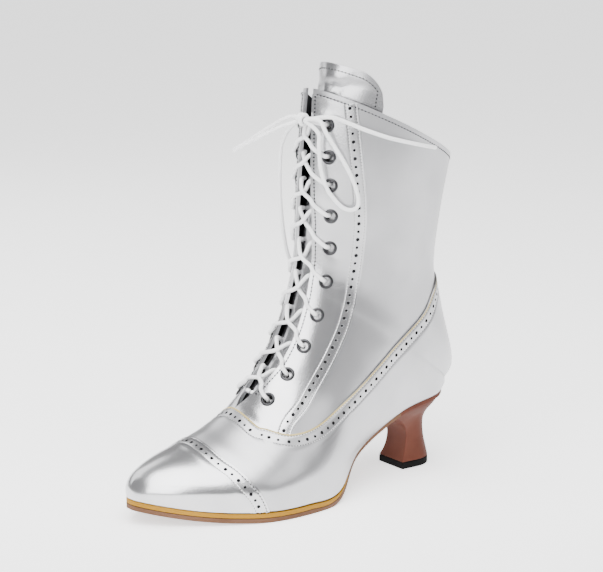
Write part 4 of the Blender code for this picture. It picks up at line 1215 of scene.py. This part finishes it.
def outsole_top(place):
    welt = welt_height(place)
    return station(place).rear_z - FIT - welt - FIT * np.minimum(welt / WELT * 4, 1.0)


def outsole_bottom(place):
    return np.maximum(outsole_top(place) - np.interp(place, SOLE_PLACES, SOLE_THICK), 0.0)


def foot_edge(place, side, margin):
    """The foot's edge in plan, moved out by a margin."""
    edge, ahead, behind = (raw_skin(p, 1.0, side)[:, :2]
                           for p in (place, place + STEP, np.maximum(place - STEP, 0.0)))
    slope = ahead - behind
    way = unit(np.stack([-slope[:, 1], slope[:, 0]], -1) * -side)
    way[place < STEP] = (1.0, 0.0)
    way[place > HEEL_ROW - STEP] = (-1.0, 0.0)
    return edge + way * np.broadcast_to(margin, place.shape)[:, None]


def slab(name, low, high, finish, node, edge):
    """A closed layer between two tables of points."""
    bm = bmesh.new()
    for under, over in zip(low, high):
        table = grid(bm, *under.shape[:2])
        move_to(table, under)
        patch = list({f for v in table.flat for f in v.link_faces})
        made = bmesh.ops.extrude_face_region(bm, geom=patch)["geom"]
        rise = {tuple(v.co): top for v, top in zip(table.flat, over.reshape(-1, 3))}
        for v in made:
            if isinstance(v, bmesh.types.BMVert):
                v.co = rise[tuple(v.co)]
    bmesh.ops.remove_doubles(bm, verts=bm.verts, dist=2e-5)
    bmesh.ops.recalc_face_normals(bm, faces=bm.faces)
    piece = make_piece(name, bm, (finish,), (node,))
    round_edges(piece, edge)
    return piece


def across_foot(place, margin, columns):
    """Plan points from the lateral to the medial edge."""
    outer, inner = foot_edge(place, 1, margin), foot_edge(place, -1, margin)
    share = np.linspace(0.0, 1.0, columns)[None, :, None]
    return outer[:, None] + (inner - outer)[:, None] * share


def with_height(plan, height):
    return np.concatenate([plan, np.broadcast_to(height[:, None, None], (*plan.shape[:2], 1))], -1)


FOOT_PLACES = np.concatenate([np.linspace(0.0, 1.0, 14) ** 1.5,
                              np.linspace(1.0, HEEL_ROW - 1.0, 90)[1:],
                              HEEL_ROW - np.linspace(1.0, 0.0, 16)[1:] ** 1.5])


def make_outsole():
    plan = across_foot(FOOT_PLACES, sole_margin(FOOT_PLACES), SOLE_COLUMNS)
    low, high = (with_height(plan, level(FOOT_PLACES)) for level in (outsole_bottom, outsole_top))
    outsole = slab("outsole_leather", [low], [high], SOLE_FINISH, "outsole", 0.0004)
    outsole.data.materials.append(HEEL_FINISH)
    for face in outsole.data.polygons:
        face.material_index = int(face.center.x < pattern((HEEL_SEAT, 0.0, 0.0))[0])
    return outsole


def make_insole():
    plan = across_foot(FOOT_PLACES, -INSOLE_INSET, SOLE_COLUMNS)
    low = with_height(plan, outsole_top(FOOT_PLACES) + FIT)
    high = with_height(plan, station(FOOT_PLACES).rear_z + INSOLE)
    return slab("insole_sock", [low], [high], SOCK, "insole", 0.0006)


def make_welt():
    place = FOOT_PLACES[FOOT_PLACES <= WELT_END]
    low, high = [], []
    for side in SIDES.values():
        margins = (-WELT_INNER, 0.0, sole_margin(place))
        plan = np.stack([foot_edge(place, side, margin) for margin in margins], 1)
        top = station(place).rear_z - FIT
        high.append(with_height(plan, top))
        low.append(with_height(plan, top - welt_height(place)))
    return slab("welt_strip", low, high, WELT_FINISH, "welt", 0.0005)


for layer in (make_outsole(), make_insole(), make_welt()):
    print(layer.name, len(layer.data.polygons), "faces")

# %% [markdown]
# ## Heel and top piece
# The heel is waisted: wide under the seat, narrow below, with a flat breast that meets the sides
# at a sharp edge. Sections down its height are lofted with one rolled grid. Under it sits the
# top piece, a black layer that takes the wear.

# %% The heel
HeelRow = namedtuple("HeelRow", "share back breast half breast_half round_part")
HEEL = (
    HeelRow(1.00, 6.6, 53.0, 23.0, 22.6, 0.46), HeelRow(0.93, 8.4, 49.0, 21.4, 20.4, 0.47),
    HeelRow(0.85, 10.8, 44.4, 18.6, 17.0, 0.48), HeelRow(0.74, 14.2, 38.9, 14.4, 12.9, 0.50),
    HeelRow(0.62, 16.4, 35.4, 11.6, 10.6, 0.52), HeelRow(0.48, 16.4, 34.0, 10.2, 9.6, 0.54),
    HeelRow(0.30, 15.2, 34.6, 10.0, 9.6, 0.55), HeelRow(0.12, 13.0, 36.4, 10.7, 10.4, 0.55),
    HeelRow(0.00, 11.8, 38.4, 12.0, 11.8, 0.55),
)
TOP_PIECE, SEAT_FIT = 0.0045, 0.0004
SHANK = 8.0                  # place behind which the sole rises without turning back


def heel_outline(row, back_steps=14, side_steps=10, breast_steps=10):
    """A closed section of the heel in plan, from the breast round the back and across."""
    back, breast = row.back * GRADE[0], row.breast * GRADE[0]
    half, front = row.half * GRADE[1], row.breast_half * GRADE[1]
    turn = (breast - back) * row.round_part
    angle = np.linspace(0.0, np.pi / 2, back_steps + 1)
    share = np.linspace(0.0, 1.0, side_steps + 1)[1:]
    x = np.concatenate([back + turn * (1 - np.cos(angle)),
                        back + turn + (breast - back - turn) * share])
    y = np.concatenate([half * np.sin(angle), half + (front - half) * share])
    across = np.linspace(-front, front, breast_steps + 1)[1:]
    return np.stack([np.concatenate([x[::-1], x[1:], np.full(breast_steps, breast)]),
                     np.concatenate([y[::-1], -y[1:], across])], -1)


def sole_underside(x):
    places = FOOT_PLACES[FOOT_PLACES >= SHANK]
    return np.interp(-x, -station(places).rear_x, outsole_bottom(places))


def loft(name, rings, finish, node, edge):
    bm = bmesh.new()
    table = grid(bm, *rings.shape[:2])
    move_to(table, rings - ORIGIN)
    bmesh.ops.remove_doubles(bm, verts=bm.verts, dist=1e-5)
    bmesh.ops.holes_fill(bm, edges=[e for e in bm.edges if e.is_boundary], sides=0)
    bmesh.ops.recalc_face_normals(bm, faces=bm.faces)
    piece = make_piece(name, bm, (finish,), (node,))
    round_edges(piece, edge, angle=35.0)
    return piece


def make_heel(rows=44):
    table = smooth_route(HEEL, rows)
    floor = TOP_PIECE + FIT
    seat = sole_underside(heel_outline(HEEL[0])[:, 0]) - SEAT_FIT
    rings = []
    for values in table:
        row = HeelRow(*values)
        plan = heel_outline(row)
        rings.append(np.column_stack([plan, floor + (seat - floor) * row.share]))
    return loft("heel_block", np.array(rings), HEEL_FINISH, "heel", 0.0004)


def make_top_piece():
    plan = heel_outline(HEEL[-1])
    rings = np.array([np.column_stack([plan, np.full(len(plan), z)]) for z in (TOP_PIECE, 0.0)])
    return loft("top_piece_layer", rings, RUBBER, "top_piece", 0.0005)


for piece in (make_heel(), make_top_piece()):
    print(piece.name, len(piece.data.polygons), "faces")

# %% [markdown]
# ## Lace
# One white round cord laces the boot. It starts as a bar between the lowest eyelets; each half
# comes out of an eyelet, runs over the edge, across the gap and under the other facing to the next
# eyelet up. A cord is a long grid rolled into a tube, with its length and turn kept as its map.

# %% A rolled cord
CORD_STEP, CORD_SIDES = 0.0008, 10
NO_COURSE = (0.31, 0.17, 0.93)               # a direction in which no cord starts


def at_stops(table, run, stops):
    """Points or directions of a table at stops along a run."""
    return np.stack([np.interp(stops, run, line) for line in table.T], -1)


def evenly_spaced(points, spacing):
    run = run_of(points)
    stops = np.linspace(0.0, run[-1], max(int(run[-1] / spacing), 2) + 1)
    return at_stops(points, run, stops)


def ring_frames(points):
    """Two directions square to a route at each of its points, without twist."""
    course = unit(np.gradient(points, axis=0))
    sides = [unit(np.cross(course[0], NO_COURSE))]
    for way in course[1:]:
        sides.append(unit(sides[-1] - way * (sides[-1] @ way)))
    sides = np.array(sides)
    return sides, np.cross(course, sides)


def roll_cord(bm, points, radius):
    """Roll a grid round a route, close its ends, and map it by length and turn."""
    points = evenly_spaced(points, CORD_STEP)
    u, v = ring_frames(points)
    run = run_of(points)
    from_end = np.clip(np.minimum(run, run[-1] - run) / radius, 0.0, 1.0)
    size = radius * np.sqrt(1 - (1 - from_end) ** 2)
    angle = np.linspace(0.0, 2 * np.pi, CORD_SIDES + 1)[None, :, None]
    around = np.cos(angle) * u[:, None] + np.sin(angle) * v[:, None]
    rings = points[:, None] + size[:, None, None] * around
    table = grid(bm, *rings.shape[:2])
    spot = {vert: (run[row], turn / CORD_SIDES) for (row, turn), vert in np.ndenumerate(table)}
    layer = bm.loops.layers.uv.verify()
    for face in {f for v in table.flat for f in v.link_faces}:
        for loop in face.loops:
            loop[layer].uv = spot[loop.vert]
    move_to(table, rings)
    return points


def make_cord(name, route, stands_for):
    bm = bmesh.new()
    points = roll_cord(bm, route, LACE / 2)
    bmesh.ops.remove_doubles(bm, verts=bm.verts, dist=2e-5)
    bmesh.ops.recalc_face_normals(bm, faces=bm.faces)
    return make_piece(name, bm, (LACE_FINISH,), stands_for), points


# %% The laced runs
# Points of the lace at an eyelet: how far ahead of it, the share of the way to it, the height.
LacePoint = namedtuple("LacePoint", "ahead across height")
OUT = (LacePoint(0.0, 0.93, 0.0002), LacePoint(0.0, 0.84, 0.0030))
OVER = (LacePoint(0.04, 0.62, 0.0030), LacePoint(0.13, 0.25, 0.0025),
        LacePoint(0.275, 0.0, 0.0022))
INTO = (LacePoint(-0.02, 0.75, -0.0038), LacePoint(0.0, 0.93, -0.0026))
FROM_BAR, FROM_CROSSING = LacePoint(-0.06, 0.35, -0.0034), LacePoint(-0.07, 0.35, -0.0034)
TO_KNOT = (LacePoint(-0.01, 0.6, 0.0031), LacePoint(-0.03, 0.2, 0.0034))
BAR_BELOW, CROSSING_BELOW, UNDER_EDGE = 0.1, 0.12, -0.0006
KNOT = pattern((108.0, 2.0, 221.2))
ROUTE_SAMPLES = 12
MIDPLANE = np.array((1.0, 0.0, 1.0))


def lace_points(table, seat, side, pitch=1.0):
    place, across = seat
    return [skin(place + t.ahead * pitch, across * t.across, side, t.height) for t in table]


def strand(k, side, over):
    """Out of one eyelet, over its facing, across the gap and under the other to the next."""
    seat, target = SEATS[side][k], SEATS[-side][k + 1]
    p, q = seat[0], target[0]
    middle = (p + q) / 2
    cross = (raw_skin(middle, 0.0, side) + raw_skin(middle, 0.0, -side)) / 2
    cross = cross + over * skin_normal(middle, 0.0, side, False) * MIDPLANE
    under = skin(q - CROSSING_BELOW, 0.0, -side, UNDER_EDGE)
    under = under + (0.0, side * (LACE / 2 + 0.0008), 0.0)
    return [*lace_points(OUT + OVER, seat, side, q - p), cross, under,
            *lace_points((FROM_CROSSING, *INTO), target, -side)]


def lace_run(side, over):
    """One half of the lace, from the middle of the bar up to the knot."""
    seat = SEATS[side][0]
    bar = seat[0] - BAR_BELOW
    route = [raw_skin(bar, 0.0, side) * MIDPLANE + (0.0, -ORIGIN[1] + side * 0.0004, 0.0),
             skin(bar, 0.0, side, UNDER_EDGE) + (0.0, -side * 0.0012, 0.0),
             *lace_points((FROM_BAR, *INTO), seat, side)]
    for k in range(EYELETS - 1):
        route += strand(k, side * (-1) ** k, over)
    last = side * (-1) ** (EYELETS - 1)
    route += lace_points(OUT + TO_KNOT, SEATS[last][-1], last)
    route.append(KNOT + (0.0, last * 0.0015, -0.0010))
    return smooth_route(route, len(route) * ROUTE_SAMPLES)


CROSSINGS = [f"lace_crossing_{k:02d}" for k in range(1, EYELETS)]
for name, side, over, nodes in (("lace_run_from_lateral", 1, 0.0020, CROSSINGS + ["lace_bar"]),
                                ("lace_run_from_medial", -1, -0.0002, ())):
    run, points = make_cord(name, lace_run(side, over), nodes)
    print(name, "length in mm:", round(run_of(points)[-1] * 1000))

# %% [markdown]
# ## Bow
# The lace is tied in a bow: two loops and two ends come out of the knot. They are free cords.
# The knot is almost two turns of lace round their roots.

# %% The bow
RoutePoint = namedtuple("RoutePoint", "place across height")
LOOP_LATERAL = (RoutePoint(15.44, 0.115, 7.4), RoutePoint(15.20, 0.165, 7.2),
                RoutePoint(14.70, 0.260, 6.8), RoutePoint(14.27, 0.302, 6.2),
                RoutePoint(13.95, 0.298, 5.8), RoutePoint(13.80, 0.245, 5.8),
                RoutePoint(14.03, 0.172, 6.4), RoutePoint(14.44, 0.132, 7.0),
                RoutePoint(14.90, 0.120, 7.4), RoutePoint(15.20, 0.110, 7.4))
END_LATERAL = (RoutePoint(15.56, 0.165, 6.4), RoutePoint(15.58, 0.222, 5.6),
               RoutePoint(15.57, 0.305, 4.6), RoutePoint(15.61, 0.385, 3.6),
               RoutePoint(15.70, 0.463, 2.8), RoutePoint(15.79, 0.545, 2.4),
               RoutePoint(15.87, 0.610, 2.2))
LOOP_MEDIAL = ((109.8, -5.2, 222.5), (113.6, -12.0, 219.6), (118.6, -25.0, 211.6),
               (122.6, -35.5, 204.6), (126.6, -39.0, 201.4), (131.2, -33.5, 201.6),
               (126.6, -20.5, 208.4), (119.6, -9.0, 215.4), (112.4, -3.0, 218.8))
END_MEDIAL = ((106.5, -6.0, 219.0), (107.8, -12.3, 214.0), (109.0, -17.5, 205.0),
              (108.6, -20.0, 192.0), (107.6, -21.5, 177.0), (105.0, -23.5, 162.0),
              (101.0, -26.5, 148.0), (95.5, -30.5, 136.0), (89.5, -34.0, 128.0))
BOW_SAMPLES, PATH_STEP, ROOT_ASIDE = 240, 0.004, 0.0012
KNOT_TURNS, KNOT_START, KNOT_WRAP = 1.75, 0.6, (0.0024, 0.0044, 0.0030)


def skin_route(rows):
    return [skin(r.place, r.across, 1, r.height / 1000) for r in rows]


def make_bow_cord(name, route, back_to_knot):
    side = 1 if name.endswith("lateral") else -1
    root = KNOT + (0.0, side * ROOT_ASIDE, 0.0)
    route = [root, *route] + ([root] if back_to_knot else [])
    piece, points = make_cord(name + "_cord", smooth_route(route, BOW_SAMPLES), (name,))
    tuple(points[0])
    float(run_of(points)[-1])
    [tuple(p) for p in evenly_spaced(points, PATH_STEP)]
    print(name, "length in mm:", round(run_of(points)[-1] * 1000))


def make_knot():
    t = np.linspace(0.0, 1.0, 90)
    angle = 2 * np.pi * KNOT_TURNS * t - KNOT_START
    wrap = np.stack([np.cos(angle), t - 0.5, np.sin(angle)], -1) * KNOT_WRAP
    return make_cord("lace_knot_wrap", KNOT + wrap, ("lace_knot",))[0]


make_bow_cord("lace_loop_lateral", skin_route(LOOP_LATERAL), True)
make_bow_cord("lace_end_lateral", skin_route(END_LATERAL), False)
make_bow_cord("lace_loop_medial", list(pattern(LOOP_MEDIAL)), True)
make_bow_cord("lace_end_medial", list(pattern(END_MEDIAL)), False)
print("knot faces:", len(make_knot().data.polygons))

# %% [markdown]
# ## Stitches
# The bands are sewn with a fine pale thread; the rows along the collar, the facings, the tongue and
# the cap's rear edge are sewn with a dark grey thread, which paints the shade along those rows.
# A stitch is a short flattened bead that lies in the groove its row draws in the leather, with a
# black dot at each end for the needle hole, as painted shade. One small sphere, shaped by a
# matrix, serves for all of them.

# %% Sew the rows
STITCH, EDGE_STITCH, STITCH_LENGTH, STITCH_WIDTH = 0.0019, 0.0023, 0.00112, 0.00044
# Sizes of the black dots at the needle holes, which are painted shade; the edge rows get larger
# ones.
NEEDLE_HOLE_SHADE, EDGE_HOLE_SHADE = (0.00044, 0.00038, 0.00018), (0.00068, 0.00058, 0.00026)


def stitch_matrices(points, out, pitch):
    run = run_of(points)
    count = max(int(run[-1] / pitch), 1)
    stops = (np.arange(count) + 0.5) * run[-1] / count
    ahead, behind = (at_stops(points, run, stops + shift) for shift in (pitch / 4, -pitch / 4))
    spots, ups = at_stops(points, run, stops), at_stops(out, run, stops)
    for spot, way, up in zip(spots, unit(ahead - behind), unit(ups)):
        way = unit(way - up * (way @ up))
        yield Matrix.Translation(spot) @ Matrix((way, np.cross(up, way), up)).transposed().to_4x4()


def join(whole, part):
    """Add one mesh to another; many small meshes are quicker to fill than one large one."""
    mesh = bpy.data.meshes.new("row")
    part.to_mesh(mesh)
    part.free()
    whole.from_mesh(mesh)
    bpy.data.meshes.remove(mesh)


def sew(name, rows, thread, pitch=STITCH, hole=NEEDLE_HOLE_SHADE):
    stitches, holes = bmesh.new(), bmesh.new()
    bead = Matrix.Diagonal((STITCH_LENGTH / 2, STITCH_WIDTH / 2, STITCH_WIDTH * 0.42, 1.0))
    shade_dot = Matrix.Translation((pitch / 2, 0.0, 0.0)) @ Matrix.Diagonal((*hole, 1.0))
    count = 0
    for points, out in rows:
        beads, shade_dots = bmesh.new(), bmesh.new()
        for matrix in stitch_matrices(points, out, pitch):
            bmesh.ops.create_uvsphere(beads, u_segments=6, v_segments=4, radius=1.0,
                                      matrix=matrix @ bead)
            bmesh.ops.create_icosphere(shade_dots, subdivisions=1, radius=1.0, matrix=matrix @ shade_dot)
            count += 1
        join(stitches, beads)
        join(holes, shade_dots)
    make_piece(name + "_stitches", stitches, (thread,), weld=0.0)
    # The needle holes are black dots: painted shade.
    make_piece(name + "_needle_hole_painted_shade", holes, (LINING_AND_HOLE_SHADE,), weld=0.0)
    return count


COLLAR_INSET, FACING_INSET, TONGUE_INSET, EDGE_LIFT = 0.0030, 0.0025, (0.987, 0.91), 0.0002
COLLAR_STEP = 0.1            # a little of a section, to measure its length in metres
FACING_SEWN = (6.6, COLLAR_ROW - 0.15)       # places between which the facing's edge is sewn
BACKING_THICK, BACKING_EDGE = 0.00004, 0.00001


def edge_rows(side):
    """Rows just inside the collar and the facing's front edge."""
    across = np.linspace(0.03, 1.0, 200)
    top, below = (raw_skin(p, across, side) for p in (COLLAR_ROW, COLLAR_ROW - COLLAR_STEP))
    place = COLLAR_ROW - COLLAR_STEP * COLLAR_INSET / np.linalg.norm(top - below, axis=-1)
    height = np.where(across < facing_seam(side)[1][0], EYESTAY_TOP, 0.0)
    yield skin(place, across, side, height), skin_normal(place, across, side)
    place = np.linspace(*FACING_SEWN, 240)
    across = np.array([reach(p, side, FACING_INSET) for p in place])
    height = eyestay_height(raw_skin(place, across, side)) + EDGE_LIFT
    yield skin(place, across, side, height), skin_normal(place, across, side)


def tongue_row():
    top, edge = TONGUE_INSET
    rise, over = np.linspace(0.86, top, 60), np.linspace(-edge, edge, 120)
    share = np.concatenate([rise, np.full(120, top), rise[::-1]])
    w = np.concatenate([np.full(60, -edge), over, np.full(60, edge)])
    line = tongue_points(share, w, tongue_folds(share, w))
    return line, unit(tongue_points(share, w, tongue_folds(share, w) + 1e-4) - line)


# These rows are sewn with the dark grey thread, which is painted shade.
DARK_SEWN += [row for side in SIDES.values() for row in edge_rows(side)] + [tongue_row()]
print("pale stitches:", sew("band", SEWN, THREAD))
print("grey stitches:", sew("edge", DARK_SEWN, SHADE_GREY_THREAD, EDGE_STITCH,
                              EDGE_HOLE_SHADE))


# The strips under the punched bands are black, painted shade seen through the holes.
def back_holes_with_painted_shade():
    """Dark strips under the punched bands."""
    bm = bmesh.new()
    for side, p, a, height in BACKED:
        lay(bm, p, a, side, height)
    backing = make_piece("punch_backing_painted_shade", bm, (LINING_AND_HOLE_SHADE,))
    thicken(backing, BACKING_THICK, edge=BACKING_EDGE)


back_holes_with_painted_shade()

# %% [markdown]
# ## Size
# The dressed boot stays inside the box of the solids, apart from a little for cloth and cord.

# %% Finish
bpy.context.view_layer.update()
